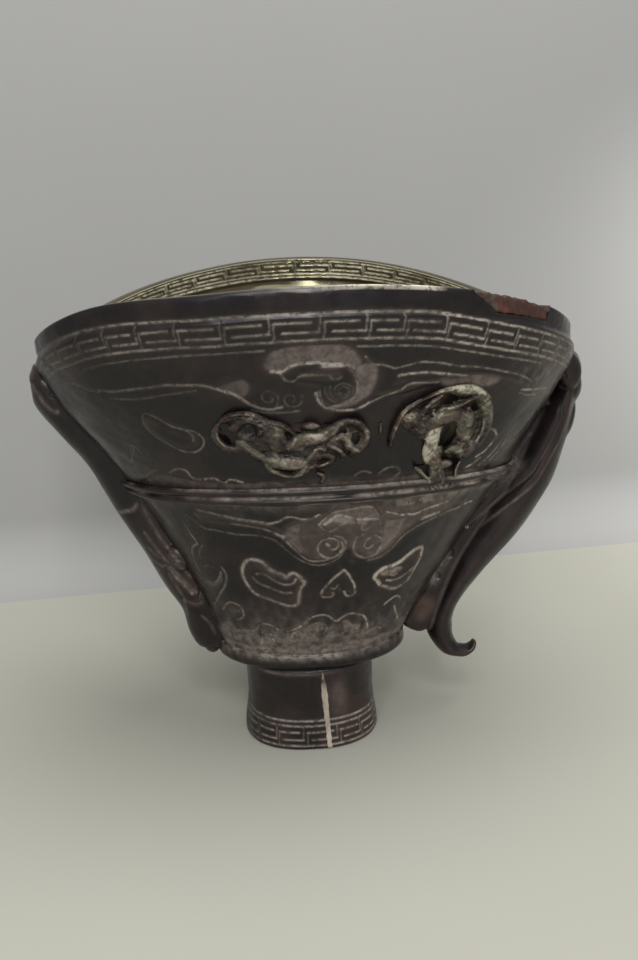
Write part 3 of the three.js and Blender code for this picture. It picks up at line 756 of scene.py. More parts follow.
class Sculpture:
    """A carved piece built up from straps and lumps, merged into one skin and then engraved."""

    points_at_once = 4000

    def __init__(self, name: str, voxel: float) -> None:
        """Starts an empty piece.

        Args:
            name: Name of the piece.
            voxel: Cell of the merge, in mm.
        """
        self.name, self.voxel = name, voxel * 1
        self.parts: list[bpy.types.Object] = []
        self.obj: bpy.types.Object | None = None

    def strap(self, rings: Sequence[Ring], power: float = 2.0, sides: int = 40, fine: int = 8) -> None:
        """Adds a strap through sections.

        Args:
            rings: The sections, from end to end.
            power: Fullness of the section: under 2 gives a ridge.
            sides: Points round it.
            fine: Sections between two given ones.
        """
        table = np.array([[*r.middle, *r.out, *r.across, r.high, r.wide] for r in rings])
        count = (len(rings) - 1) * fine
        spots = np.linspace(0, len(rings) - 1, count + 1)
        table = np.stack([through(table[:, k], spots) for k in range(table.shape[1])], -1)
        angles = np.arange(sides) / sides * 360
        u, v = oval(angles, 1.0, 1.0, power)
        tips = [0.001, 0.45, 0.75, 0.93]
        sections = []
        for k, row in enumerate(table):
            sections.append(row[:3] + row[3:6] * (row[9] * u)[:, None] + row[6:9] * (row[10] * v)[:, None])
        start, end = sections[0], sections[-1]
        first, last = start.mean(0), end.mean(0)
        reach = [table[0, 9] * 0.6, table[-1, 9] * 0.6]
        ahead = [(first - sections[1].mean(0)), (last - sections[-2].mean(0))]
        ahead = [d / max(np.linalg.norm(d), 1e-6) for d in ahead]
        begin = [first + (start - first) * t + ahead[0] * reach[0] * math.sqrt(1 - t * t) for t in tips]
        finish = [last + (end - last) * t + ahead[1] * reach[1] * math.sqrt(1 - t * t)
                  for t in reversed(tips)]
        grid = np.array([*begin, *sections, *finish])
        lid = np.arange(sides)
        self._add(grid.reshape(-1, 3), grid_faces(len(grid), sides),
                  [lid[::-1], lid + (len(grid) - 1) * sides])

    def _add(self, points: np.ndarray, faces: np.ndarray, lids: Sequence[np.ndarray] = ()) -> None:
        """Keeps one closed part until the merge.

        Args:
            points: Points in mm.
            faces: Squares.
            lids: Corner numbers of end faces.
        """
        mesh = bpy.data.meshes.new("part")
        mesh.from_pydata((points * MM).tolist(), [], [*faces.tolist(), *[lid.tolist() for lid in lids]])
        part = bpy.data.objects.new("part", mesh)
        bpy.context.scene.collection.objects.link(part)
        self.parts.append(part)

    def lump(self, middle: np.ndarray, axes: Sequence[np.ndarray], sizes: Sequence[float],
             power: float = 2.0) -> None:
        """Adds a rounded lump.

        Args:
            middle: Its middle.
            axes: Three directions.
            sizes: Half sizes along them.
            power: Fullness.
        """
        sides, levels = 28, 17
        turns = np.arange(sides) / sides * 360
        rises = np.linspace(-88, 88, levels)
        level, tip = oval(rises, 1.0, 1.0, power)
        x, y = oval(turns[None, :], level[:, None], level[:, None], power)
        local = np.stack([x * sizes[0], y * sizes[1], np.broadcast_to(tip[:, None] * sizes[2], x.shape)], -1)
        points = np.asarray(middle) + local @ np.array(axes)
        lid = np.arange(sides)
        self._add(points.reshape(-1, 3), grid_faces(levels, sides), [lid[::-1], lid + (levels - 1) * sides])

    def merge(self, smooth: int = 3) -> None:
        """Fuses the parts into one skin.

        Args:
            smooth: Rounds of smoothing.
        """
        work = bmesh.new()
        for part in self.parts:
            work.from_mesh(part.data)
            bpy.data.objects.remove(part)
        bmesh.ops.recalc_face_normals(work, faces=work.faces)
        mesh = bpy.data.meshes.new(self.name)
        work.to_mesh(mesh)
        work.free()
        self.obj = bpy.data.objects.new(self.name, mesh)
        bpy.context.scene.collection.objects.link(self.obj)
        remesh = self.obj.modifiers.new("merge", "REMESH")
        remesh.mode, remesh.voxel_size = "VOXEL", self.voxel * MM
        soft = self.obj.modifiers.new("soft", "SMOOTH")
        soft.factor, soft.iterations = 0.5, smooth
        apply_modifiers(self.obj)
        self.points = read_points(self.obj.data)
        self.cuts, self.wax, self.dust, self.rubbed_and_highlit = (np.zeros(len(self.points)) for _ in range(4))

    def normals(self) -> np.ndarray:
        """Directions square out of the skin.

        Returns:
            One a point.
        """
        found = np.zeros(len(self.obj.data.vertices) * 3, np.float32)
        self.obj.data.vertices.foreach_get("normal", found)
        return found.reshape(-1, 3).astype(float)

    def mark(self, mark: "SideMark") -> None:
        """Cuts or dusts lines that both sides of the piece show."""
        found = np.full(len(self.points), 9.0)
        reach = mark.half_width * 2.2
        plan = self.points[:, [0, 2]] - (AXIS_X - DRAWN_AXIS_X, 0)
        for path in mark.paths:
            samples = curve(path, step=0.3)
            near = np.nonzero(((plan > samples.min(0) - reach) & (plan < samples.max(0) + reach)).all(1)
                              & (abs(self.points[:, 1]) > mark.beyond))[0]
            for start in range(0, len(near), self.points_at_once):
                part = near[start:start + self.points_at_once]
                gap = np.sqrt(((plan[part][:, None, :] - samples) ** 2).sum(-1)).min(-1)
                found[part] = np.minimum(found[part], gap / mark.half_width)
        share = np.exp(-(found**2))
        self.cuts -= mark.depth * share
        lumpy = np.clip(0.8 + ripple(self.points, 2.4, 0.3, 41), 0, 1)
        self.wax = np.maximum(self.wax, mark.wax * share * lumpy)
        self.dust = np.maximum(self.dust, mark.dust * share * lumpy)
        self.rubbed_and_highlit = np.maximum(self.rubbed_and_highlit, mark.rubbed_and_highlit * share)

    def finish(self, dust: float = 0.8) -> bpy.types.Object:
        """Moves the points by the cuts and stores the masks.

        Args:
            dust: How dusty the hollows are.

        Returns:
            The object.
        """
        mesh = self.obj.data
        normal = self.normals()
        points = self.points + normal * self.cuts[:, None]
        edges = np.zeros(len(mesh.edges) * 2, np.int32)
        mesh.edges.foreach_get("vertices", edges)
        edges = edges.reshape(-1, 2)
        soft = points.copy()
        degree = np.bincount(edges.ravel(), minlength=len(points))[:, None]
        for _ in range(8):
            total = np.zeros_like(soft)
            np.add.at(total, edges[:, 0], soft[edges[:, 1]])
            np.add.at(total, edges[:, 1], soft[edges[:, 0]])
            soft = 0.3 * soft + 0.7 * total / np.maximum(degree, 1)
        bulge = ((soft - points) * normal).sum(1)
        hollow = np.clip((bulge - 0.02) / 0.16, 0, 1)
        proud = np.clip((-bulge - 0.03) / 0.15, 0, 1)
        mesh.vertices.foreach_set("co", (points * MM).astype(np.float32).ravel())
        mesh.update()
        # Proud places feed the rubbed mask: wear and a painted highlight.
        masks = np.stack([self.wax, np.maximum(self.dust, dust * hollow), np.maximum(self.rubbed_and_highlit, proud),
                          np.ones(len(points))], -1)
        store_masks(mesh, masks)
        mesh.shade_smooth()
        return self.obj


def read_points(mesh: bpy.types.Mesh) -> np.ndarray:
    """Points of a mesh in millimetres."""
    found = np.zeros(len(mesh.vertices) * 3, np.float32)
    mesh.vertices.foreach_get("co", found)
    return found.reshape(-1, 3).astype(float) / MM


# ---------------------------- finishes


class Tree:
    """A node tree with short calls for adding and joining nodes."""

    def __init__(self, tree: bpy.types.NodeTree) -> None:
        """Takes the tree to be filled."""
        self.tree = tree

    def add(self, kind: str, inputs: dict | None = None, **settings: object) -> bpy.types.Node:
        """Adds one node.

        Args:
            kind: Blender's node type.
            inputs: Value or output socket for each named or numbered input.
            settings: Properties of the node.

        Returns:
            The node.
        """
        node = self.tree.nodes.new(kind)
        for key, value in settings.items():
            setattr(node, key, value)
        self.fill(node, inputs or {})
        return node

    def fill(self, node: bpy.types.Node, inputs: dict) -> None:
        """Links or sets the named or numbered inputs of a node."""
        for key, value in inputs.items():
            if isinstance(value, bpy.types.NodeSocket):
                self.tree.links.new(value, node.inputs[key])
            else:
                node.inputs[key].default_value = value

    def noise(self, scale: float, detail: float = 3.0, vector: bpy.types.NodeSocket | None = None,
              rough: float = 0.55) -> bpy.types.NodeSocket:
        """Noise in the object's own space, with the scale in cells a millimetre."""
        place = vector or self.add("ShaderNodeTexCoord").outputs["Object"]
        node = self.add("ShaderNodeTexNoise", {
            "Vector": place, "Scale": scale / MM, "Detail": detail, "Roughness": rough,
        })
        return node.outputs["Fac"]

    def ramp(self, value: bpy.types.NodeSocket, low: float, high: float, to_low: float = 0.0,
             to_high: float = 1.0) -> bpy.types.NodeSocket:
        """A value spread from one range to another, and held at its ends."""
        node = self.add("ShaderNodeMapRange", {
            "Value": value, "From Min": low, "From Max": high, "To Min": to_low, "To Max": to_high,
        }, interpolation_type="SMOOTHSTEP")
        return node.outputs["Result"]

    def math(self, operation: str, first: object, second: object = 0.0) -> bpy.types.NodeSocket:
        """One sum of two values."""
        return self.add("ShaderNodeMath", {0: first, 1: second}, operation=operation).outputs[0]

    def mix(self, share: object, first: object, second: object) -> bpy.types.NodeSocket:
        """A blend of two colours."""
        return self.add("ShaderNodeMix", {0: share, 6: first, 7: second}, data_type="RGBA").outputs[2]


def new_group(name: str, inputs: dict[str, tuple[str, object]], outputs: dict[str, str]) -> tuple:
    """A shader node group with named sockets.

    Args:
        name: Its name.
        inputs: Socket type and default of each input.
        outputs: Socket type of each output.

    Returns:
        The group's tree, its input node and its output node.
    """
    group = bpy.data.node_groups.new(name, "ShaderNodeTree")
    for label, (kind, value) in inputs.items():
        group.interface.new_socket(label, in_out="INPUT", socket_type=kind).default_value = value
    for label, kind in outputs.items():
        group.interface.new_socket(label, in_out="OUTPUT", socket_type=kind)
    return Tree(group), group.nodes.new("NodeGroupInput"), group.nodes.new("NodeGroupOutput")


COLOUR, NUMBER = "NodeSocketColor", "NodeSocketFloat"
Colour = tuple[float, float, float, float]


def horn_grain_group() -> bpy.types.NodeTree:
    """Grain of polished horn: long fibres, cloudy tone and small pits.

    Returns:
        The group, with a colour, a roughness and a height.
    """
    tree, given, out = new_group("horn_grain", {
        "Dark": (COLOUR, (0.02, 0.014, 0.012, 1)), "Warm": (COLOUR, (0.06, 0.03, 0.02, 1)),
        "Smooth": (NUMBER, 0.22), "Dull": (NUMBER, 0.4),
    }, {"Color": COLOUR, "Roughness": NUMBER, "Height": NUMBER})
    place = tree.add("ShaderNodeTexCoord").outputs["Object"]
    long = tree.add("ShaderNodeMapping", {"Vector": place, "Scale": (1, 1, 0.22)}).outputs[0]
    clouds = tree.noise(0.045, 3, place)
    fibres = tree.noise(0.9, 4, long, 0.65)
    smudges = tree.noise(0.11, 4, place, 0.6)
    pits = tree.noise(1.6, 2, place)
    tone = tree.math("ADD", tree.ramp(clouds, 0.42, 0.62),
                     tree.math("MULTIPLY", tree.math("SUBTRACT", fibres, 0.5), 0.9))
    colour = tree.mix(tree.add("ShaderNodeClamp", {0: tone}).outputs[0], given.outputs["Dark"],
                      given.outputs["Warm"])
    share = tree.ramp(smudges, 0.4, 0.7)
    spread = tree.math("SUBTRACT", given.outputs["Dull"], given.outputs["Smooth"])
    rough = tree.math("ADD", given.outputs["Smooth"], tree.math("MULTIPLY", spread, share))
    height = tree.math("ADD", tree.math("MULTIPLY", fibres, 0.35), tree.ramp(pits, 0.2, 0.34, 0.0, 0.65))
    tree.fill(out, {"Color": colour, "Roughness": rough, "Height": height})
    return tree.tree


def old_wax_group() -> bpy.types.NodeTree:
    """Pale wax and dust that stay in the carving, and high places lightened as rubbed wear and painted
    highlight.

    Returns:
        The group, with a colour and a roughness.
    """
    tree, given, out = new_group("old_wax", {
        "Base": (COLOUR, (0.03, 0.02, 0.02, 1)), "Base Roughness": (NUMBER, 0.3),
        "Wax": (COLOUR, (0.36, 0.31, 0.24, 1)), "Dust": (COLOUR, (0.12, 0.09, 0.08, 1)),
        "Rubbed And Highlight": (COLOUR, (0.06, 0.04, 0.03, 1)), "Other": (COLOUR, (0.12, 0.09, 0.08, 1)),
    }, {"Color": COLOUR, "Roughness": NUMBER})
    masks = tree.add("ShaderNodeAttribute", attribute_name="Carving", attribute_type="GEOMETRY")
    parts = tree.add("ShaderNodeSeparateColor", {0: masks.outputs["Color"]})
    place = tree.add("ShaderNodeTexCoord").outputs["Object"]
    broken = tree.noise(0.55, 4, place, 0.65)
    patches = tree.noise(0.06, 2, place)
    kept = tree.math("MULTIPLY", tree.ramp(broken, 0.36, 0.58, 0.16, 1.0),
                     tree.ramp(patches, 0.34, 0.6, 0.4, 1.0))
    wax = tree.math("MULTIPLY", parts.outputs[0], kept)
    dust = tree.math("MULTIPLY", parts.outputs[1], tree.ramp(broken, 0.34, 0.66, 0.55, 0.95))
    tone = tree.noise(0.2, 3, place)
    powder = tree.mix(tree.ramp(tree.noise(0.32, 3, place), 0.44, 0.58), given.outputs["Dust"],
                      given.outputs["Other"])
    pale = tree.mix(tree.ramp(tone, 0.35, 0.65), given.outputs["Wax"], powder)
    pale = tree.mix(0.35, given.outputs["Wax"], pale)
    # Proud places are mixed towards a lighter colour: rubbed wear and a painted highlight.
    colour = tree.mix(tree.math("MULTIPLY", parts.outputs[2], 0.5), given.outputs["Base"],
                      given.outputs["Rubbed And Highlight"])
    colour = tree.mix(tree.add("ShaderNodeClamp", {0: dust}).outputs[0], colour, powder)
    colour = tree.mix(tree.add("ShaderNodeClamp", {0: wax}).outputs[0], colour, pale)
    cover = tree.math("MAXIMUM", wax, tree.math("MULTIPLY", dust, 0.8))
    dull = tree.math("SUBTRACT", 0.75, given.outputs["Base Roughness"])
    rough = tree.math("ADD", given.outputs["Base Roughness"], tree.math("MULTIPLY", dull, cover))
    tree.fill(out, {"Color": colour, "Roughness": rough})
    return tree.tree


@dataclass(frozen=True)
class HornFinish:
    """Polished horn with old wax in its carving."""

    name: str
    groups: tuple[bpy.types.NodeTree, bpy.types.NodeTree]
    dark: Colour = (0.0065, 0.0047, 0.0052, 1)
    warm: Colour = (0.0165, 0.0102, 0.0098, 1)
    wax: Colour = (0.40, 0.355, 0.295, 1)
    other: Colour = (0.125, 0.092, 0.083, 1)
    dust: Colour = (0.125, 0.092, 0.083, 1)
    # Lighter colour of the proud places: rubbed wear and a painted highlight.
    rubbed_and_highlit: Colour = (0.05, 0.03, 0.023, 1)
    smooth: float = 0.26
    dull: float = 0.45
    coat: float = 0.1
    specular: float = 0.32
    tint: Colour = (1, 1, 1, 1)
    coat_roughness: float = 0.14
    bump: float = 0.22

    def material(self) -> bpy.types.Material:
        """Builds the material.

        Returns:
            The material.
        """
        made = bpy.data.materials.new(self.name)
        made.use_nodes = True
        tree = Tree(made.node_tree)
        grain = tree.add("ShaderNodeGroup", {
            "Dark": self.dark, "Warm": self.warm, "Smooth": self.smooth, "Dull": self.dull,
        }, node_tree=self.groups[0])
        wax = tree.add("ShaderNodeGroup", {
            "Base": grain.outputs["Color"], "Base Roughness": grain.outputs["Roughness"],
            "Wax": self.wax, "Dust": self.dust, "Other": self.other, "Rubbed And Highlight": self.rubbed_and_highlit,
        }, node_tree=self.groups[1])
        bump = tree.add("ShaderNodeBump", {
            "Height": grain.outputs["Height"], "Strength": self.bump, "Distance": 0.1 * MM,
        })
        tree.fill(made.node_tree.nodes["Principled BSDF"], {
            "Base Color": wax.outputs["Color"], "Roughness": wax.outputs["Roughness"],
            "Normal": bump.outputs[0],
            "Specular IOR Level": self.specular, "Specular Tint": self.tint,
            "Coat Weight": self.coat, "Coat Roughness": self.coat_roughness,
        })
        return made


@dataclass(frozen=True)
class StageFinish:
    """Plain painted board of the floor and backdrop."""

    name: str
    colour: Colour
    roughness: float = 0.85
    one_sided: bool = False

    def material(self) -> bpy.types.Material:
        """Builds the material.

        Returns:
            The material.
        """
        made = bpy.data.materials.new(self.name)
        made.use_nodes = True
        tree = Tree(made.node_tree)
        tone = tree.noise(0.012, 2)
        darker = tuple(0.95 * c for c in self.colour[:3]) + (1,)
        shader = made.node_tree.nodes["Principled BSDF"]
        tree.fill(shader, {
            "Base Color": tree.mix(tone, darker, self.colour), "Roughness": self.roughness,
            "Specular IOR Level": 0.15,
        })
        if self.one_sided:
            behind = tree.add("ShaderNodeNewGeometry").outputs["Backfacing"]
            clear = tree.add("ShaderNodeBsdfTransparent").outputs[0]
            both = tree.add("ShaderNodeMixShader", {0: behind, 1: shader.outputs[0], 2: clear})
            tree.fill(made.node_tree.nodes["Material Output"], {"Surface": both.outputs[0]})
        return made


@dataclass
class Finishes:
    """Every finish of the cup, built once."""

    grain: bpy.types.NodeTree = field(default_factory=horn_grain_group)
    old_wax: bpy.types.NodeTree = field(default_factory=old_wax_group)

    def __post_init__(self) -> None:
        """Makes the materials."""
        groups = (self.grain, self.old_wax)
        self.dark = HornFinish("dark_horn_finish", groups, dust=(0.145, 0.113, 0.100, 1)).material()
        self.handle = HornFinish("dragon_horn_finish", groups, rubbed_and_highlit=(0.075, 0.04, 0.03, 1)).material()
        self.rosy = HornFinish(
            "rosy_relief_finish", groups, dust=(0.16, 0.118, 0.10, 1), other=(0.12, 0.118, 0.075, 1),
            wax=(0.50, 0.44, 0.36, 1), dull=0.5,
        ).material()
        self.olive = HornFinish(
            "olive_relief_finish", groups, dust=(0.12, 0.12, 0.08, 1), other=(0.16, 0.105, 0.08, 1),
            wax=(0.52, 0.49, 0.38, 1), dull=0.5,
        ).material()
        # Inner horn, lighter and more golden than the outside: partly the horn's own tone, partly a painted
        # glow of light through the translucent horn.
        self.inside = HornFinish(
            "inner_horn_finish", groups, dark=(0.036, 0.028, 0.018, 1), warm=(0.062, 0.05, 0.028, 1),
            wax=(0.8, 0.76, 0.55, 1), dust=(0.2, 0.18, 0.11, 1), other=(0.14, 0.125, 0.075, 1),
            smooth=0.07, dull=0.14, coat=0.0, bump=0.05, specular=0.65, tint=(1, 0.93, 0.6, 1),
        ).material()
        self.foot = HornFinish(
            "foot_horn_finish", groups, dark=(0.010, 0.0068, 0.0072, 1), warm=(0.034, 0.019, 0.017, 1),
        ).material()
        self.brown = HornFinish(
            "brown_horn_finish", groups, dark=(0.03, 0.015, 0.01, 1), warm=(0.09, 0.04, 0.025, 1),
        ).material()
        self.repair = HornFinish(
            "repair_horn_finish", groups, dark=(0.05, 0.02, 0.015, 1), warm=(0.17, 0.058, 0.04, 1),
            dust=(0.08, 0.072, 0.058, 1), other=(0.032, 0.024, 0.02, 1), smooth=0.5, dull=0.75, coat=0.0,
            bump=1.6,
        ).material()
        self.wax = HornFinish(
            "seam_wax_finish", groups, dark=(0.3, 0.25, 0.2, 1), warm=(0.5, 0.44, 0.36, 1),
            dust=(0.07, 0.035, 0.028, 1), other=(0.03, 0.018, 0.016, 1), smooth=0.55, dull=0.8, coat=0.0,
            bump=0.5,
        ).material()


def show(obj: bpy.types.Object, nodes: Sequence[str], slot: str, *materials: bpy.types.Material) -> None:
    """Puts a finished piece in the scene for the nodes that it stands for.

    Args:
        obj: The piece.
        nodes: CAD nodes that it replaces.
        slot: The record's material slot, which is not used.
        materials: Its finishes.
    """
    for material in materials:
        obj.data.materials.append(material)
    places = np.empty(3 * len(obj.data.vertices))
    obj.data.vertices.foreach_get("co", places)
    places = np.clip(places.reshape(-1, 3), *(np.array(corner) for corner in CAD_BOX))
    obj.data.vertices.foreach_set("co", places.ravel())
    obj.data.update()
    if nodes:
        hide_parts(*nodes)
    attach(obj, BODY)
    LOG.info("%s: %d faces", obj.name, len(obj.data.polygons))


# ---------------------------- the cup's pieces


def degrees_round(columns: int) -> np.ndarray:
    count = columns // QUICK_COARSER
    return np.arange(count) * 360 / count - 180


def steps_up(low: float, high: float, step: float) -> np.ndarray:
    return np.linspace(low, high, round((high - low) / (step * QUICK_COARSER)) + 1)


def ripple(points: np.ndarray, length: float, height: float, seed: int) -> np.ndarray:
    """Gentle hand-made unevenness.

    Args:
        points: Points in mm.
        length: Rough length of the waves.
        height: Their height.
        seed: Seed of the waves.

    Returns:
        One value a point.
    """
    rng = np.random.default_rng(seed)
    total = np.zeros(points.shape[:-1])
    for _ in range(9):
        way = rng.normal(size=3)
        way *= 2 * np.pi / (np.linalg.norm(way) * length * rng.uniform(0.6, 1.8))
        total += np.sin(points @ way + rng.uniform(0, 6.28))
    return total * height / 3


def no_masks(points: np.ndarray) -> np.ndarray:
    """Empty masks for points without carving."""
    return np.broadcast_to([0.0, 0.0, 0.0, 1.0], (*points.shape[:-1], 4))


def plain(points: np.ndarray) -> tuple[np.ndarray, np.ndarray]:
    """Rows without carving, and their masks."""
    return points, no_masks(points)


def turned(name: str, sections: Sequence[tuple[np.ndarray, np.ndarray]], most_faces: int,
           finishes: Sequence[int] = ()) -> bpy.types.Object:
    """A closed body from rows that run up the outside and down the inside.

    Args:
        name: Its name.
        sections: Points and masks, each with rows, columns and a last axis.
        most_faces: Triangles to stay under.
        finishes: Number of each section's finish, where there is more than one.

    Returns:
        The object.
    """
    points = np.concatenate([p for p, _ in sections])
    masks = np.concatenate([m for _, m in sections])
    rows, columns = points.shape[:2]
    finishes = finishes or [0] * len(sections)
    numbers = np.concatenate([np.full(len(p), k) for (p, _), k in zip(sections, finishes, strict=True)])
    obj = make_mesh(name, points.reshape(-1, 3), grid_faces(rows, columns, True), masks.reshape(-1, 4),
                    np.repeat(numbers, columns))
    return tidy_mesh(obj, most_faces)


@dataclass
class UpperBowl:
    """Flared upper wall, with the notch that takes the rim repair."""

    columns: int = 1240
    per_degree: float = 1.1
    row: float = 0.29
    plain_row: float = 1.6
    outer_top: float = 129.3
    inner_top: float = 129.45
    above: float = 131.0
    low: float = 78.4
    lap: float = 82.4
    fine_inside: float = 117.5
    lap_inset: float = 1.85
    notch: Path = trace("-60.3 131, -59.9 129.6, -54.2 125.2, -37.4 125.3, -35.6 129.6, -35.2 131")
    most_faces: int = 190000

    def top(self, degrees: np.ndarray) -> np.ndarray:
        """Height of the wall's top edge, lower in the notch."""
        around = (degrees + 180) % 360 - 180
        return np.interp(around, *zip(*self.notch, strict=True), left=self.above, right=self.above)

    def place(self, out: float) -> Callable[[np.ndarray, np.ndarray], np.ndarray]:
        """The wall's place function at an offset, cut off at the notch."""
        return lambda degrees, heights: WALL.point(degrees, np.minimum(heights, self.top(degrees)), out)

    def lip(self, degrees: np.ndarray) -> np.ndarray:
        """Rows of the rounded lip, from the outer face over to the inner one."""
        profile = trace("""129.65 -0.25, 130 -0.35, 130.27 -0.58, 130.4 -1.1, 130.4 -2, 130.36 -2.9,
            130.15 -3.45, 129.85 -3.78, 129.5 -3.95""")
        return np.stack([self.place(out)(degrees, height) for height, out in profile])

    def build(self, carve_outer: Callable, carve_inner: Callable, finishes: Finishes) -> None:
        """Makes the piece.

        Args:
            carve_outer: Carves the outer skin.
            carve_inner: Carves the inner skin.
            finishes: The finishes.
        """
        degrees = degrees_round(self.columns)
        heights = steps_up(self.low, self.outer_top, self.row)
        outer = Skin(self.place(0.0), heights, degrees, 1.0, self.per_degree)
        carve_outer(outer)
        heights = steps_up(self.fine_inside, self.inner_top, self.row)
        inner = Skin(self.place(-WALL.thickness), heights, degrees, -1.0, self.per_degree)
        carve_inner(inner)
        lip = self.lip(degrees)
        # Pale wax on the lip's top over the near side is a painted highlight: the bright line where the lip
        # catches the light.
        painted_lip_highlight = no_masks(lip).copy()
        painted_lip_highlight[..., 0] = np.interp(degrees, (-98, -93, -84, -70, -66), (0, 0.5, 1.4, 1.4, 0))
        plain_inside = np.stack([self.place(-WALL.thickness)(degrees, height)
                                 for height in steps_up(self.lap, self.fine_inside - 0.6,
                                                        self.plain_row)])[::-1]
        lap = np.stack([self.place(-self.lap_inset)(degrees, height) for height in (self.lap, self.low)])
        obj = turned("horn_upper_bowl", [
            outer.rows(), (lip[:2], painted_lip_highlight[:2]), (lip[2:], painted_lip_highlight[2:]),
            (inner.carved()[::-1], inner.masks()[::-1]), plain(plain_inside), plain(lap),
        ], self.most_faces, (0, 0, 1, 1, 1, 0))
        show(obj, ["upper_bowl"], "dark_horn", finishes.dark, finishes.inside)


@dataclass
class LowerBowl:
    """Tapering lower wall with its ledge moulding and the spigot that the upper bowl sits on."""

    columns: int = 960
    per_degree: float = 0.72
    row: float = 0.28
    plain_row: float = 1.6
    base: float = 27.75
    top: float = 77.9
    spigot_top: float = 82.1
    lap_inset: float = 2.15
    seat: float = 29.3
    tenon_radius: float = 10.0
    ledge_bottom: float = 23.7
    ledge: Path = trace("-4.2 23.7, -3 23.75, -2 23.95, -1 24.4, -0.3 25, -0.02 25.7, 0 26.4")
    most_faces: int = 180000

    def ledge_rows(self, degrees: np.ndarray) -> np.ndarray:
        """Rows of the moulding, from the tenon's hole out to the wall."""
        rows = [ring(self.tenon_radius, self.tenon_radius, self.ledge_bottom, degrees)]
        half_length, half_depth = WALL.base_length / 2 + 1, WALL.base_depth / 2 + 1
        lean = WALL.lean * WALL.lean_shares[0]
        for cut, height in self.ledge:
            side = cut * 0.5 / 4.2 if cut < -3 else cut * 0.35
            rows.append(ring(half_length + cut, half_depth + side, height, degrees, lean, WALL.power))
        for height, out in ((27.3, 1.0), (27.75, 0.85), (27.95, 0.5), (28.0, 0.15)):
            rows.append(WALL.point(degrees, height, out))
        return np.stack(rows)

    def build(self, carve: Callable, finishes: Finishes) -> None:
        """Makes the piece.

        Args:
            carve: Carves the outer skin.
            finishes: The finishes.
        """
        degrees = degrees_round(self.columns)
        outer = Skin(WALL.point, steps_up(self.base + 0.4, self.top, self.row), degrees, 1.0, self.per_degree)
        carve(outer)
        corners = ((self.top, -self.lap_inset), (self.spigot_top, -self.lap_inset),
                   (self.spigot_top, -WALL.thickness))
        spigot = np.stack([WALL.point(degrees, height, out) for height, out in corners])
        inside = np.stack([WALL.point(degrees, height, -WALL.thickness)
                           for height in steps_up(self.seat, self.spigot_top - 0.5, self.plain_row)])[::-1]
        seat = ring(self.tenon_radius, self.tenon_radius, self.seat + 0.1, degrees)[None]
        ledge = self.ledge_rows(degrees)
        ledge_masks = no_masks(ledge).copy()
        last = len(ledge) - 1
        level = np.interp(np.arange(last + 1), (0, 3, 6, 8, last), (0, 0.03, 0.12, 0.75, 1))[:, None]
        near = np.interp(-abs(degrees), (-180, -150, -110, -50, 0), (0.3, 0.5, 1, 0.9, 0.5))
        ledge_masks[..., 1] = np.clip(level * near * (0.6 + ripple(ledge, 2.6, 0.4, 34)), 0, 1)
        ledge_masks[..., 0] = np.clip((2 * level - 1) * near * (0.8 + ripple(ledge, 4.0, 0.6, 35)), 0, 1.3)
        obj = turned("horn_lower_bowl", [
            (ledge, ledge_masks), outer.rows(), plain(spigot), plain(inside), plain(seat),
        ], self.most_faces, (0, 0, 0, 1, 1))
        show(obj, ["lower_bowl"], "dark_horn", finishes.dark, finishes.inside)


@dataclass
class WaistRing:
    """Two plain ribs round the waist."""

    columns: int = 900
    per_degree: float = 0.9
    row: float = 0.16
    half: float = 2.5
    most_faces: int = 90000
    profile: Path = trace("""0 0.75, 0.05 1.3, 0.14 1.95, 0.245 2.2, 0.34 1.95, 0.45 1.25, 0.5 0.95,
        0.55 1.25, 0.66 1.95, 0.755 2.2, 0.86 1.95, 0.95 1.3, 1 0.75""")

    def build(self, carve: Callable, finishes: Finishes) -> None:
        """Makes the piece.

        Args:
            carve: Adds wear and dust.
            finishes: The finishes.
        """
        waist = float(WALL.side_height(2.0))
        shares, outs = zip(*self.profile, strict=True)

        def place(degrees: np.ndarray, heights: np.ndarray) -> np.ndarray:
            """Outer face of the ribs."""
            share = (heights - waist + self.half) / (2 * self.half)
            return WALL.point(degrees, heights, np.interp(share, shares, outs))

        degrees = degrees_round(self.columns)
        heights = steps_up(waist - self.half, waist + self.half, self.row)
        outer = Skin(place, heights, degrees, 1.0, self.per_degree)
        carve(outer)
        back = np.stack([WALL.point(degrees, waist + rise, 0.3) for rise in (self.half, 0.0, -self.half)])
        obj = turned("horn_waist_ring", [outer.rows(), plain(back)], self.most_faces)
        show(obj, ["waist_ring"], "dark_horn", finishes.dark)


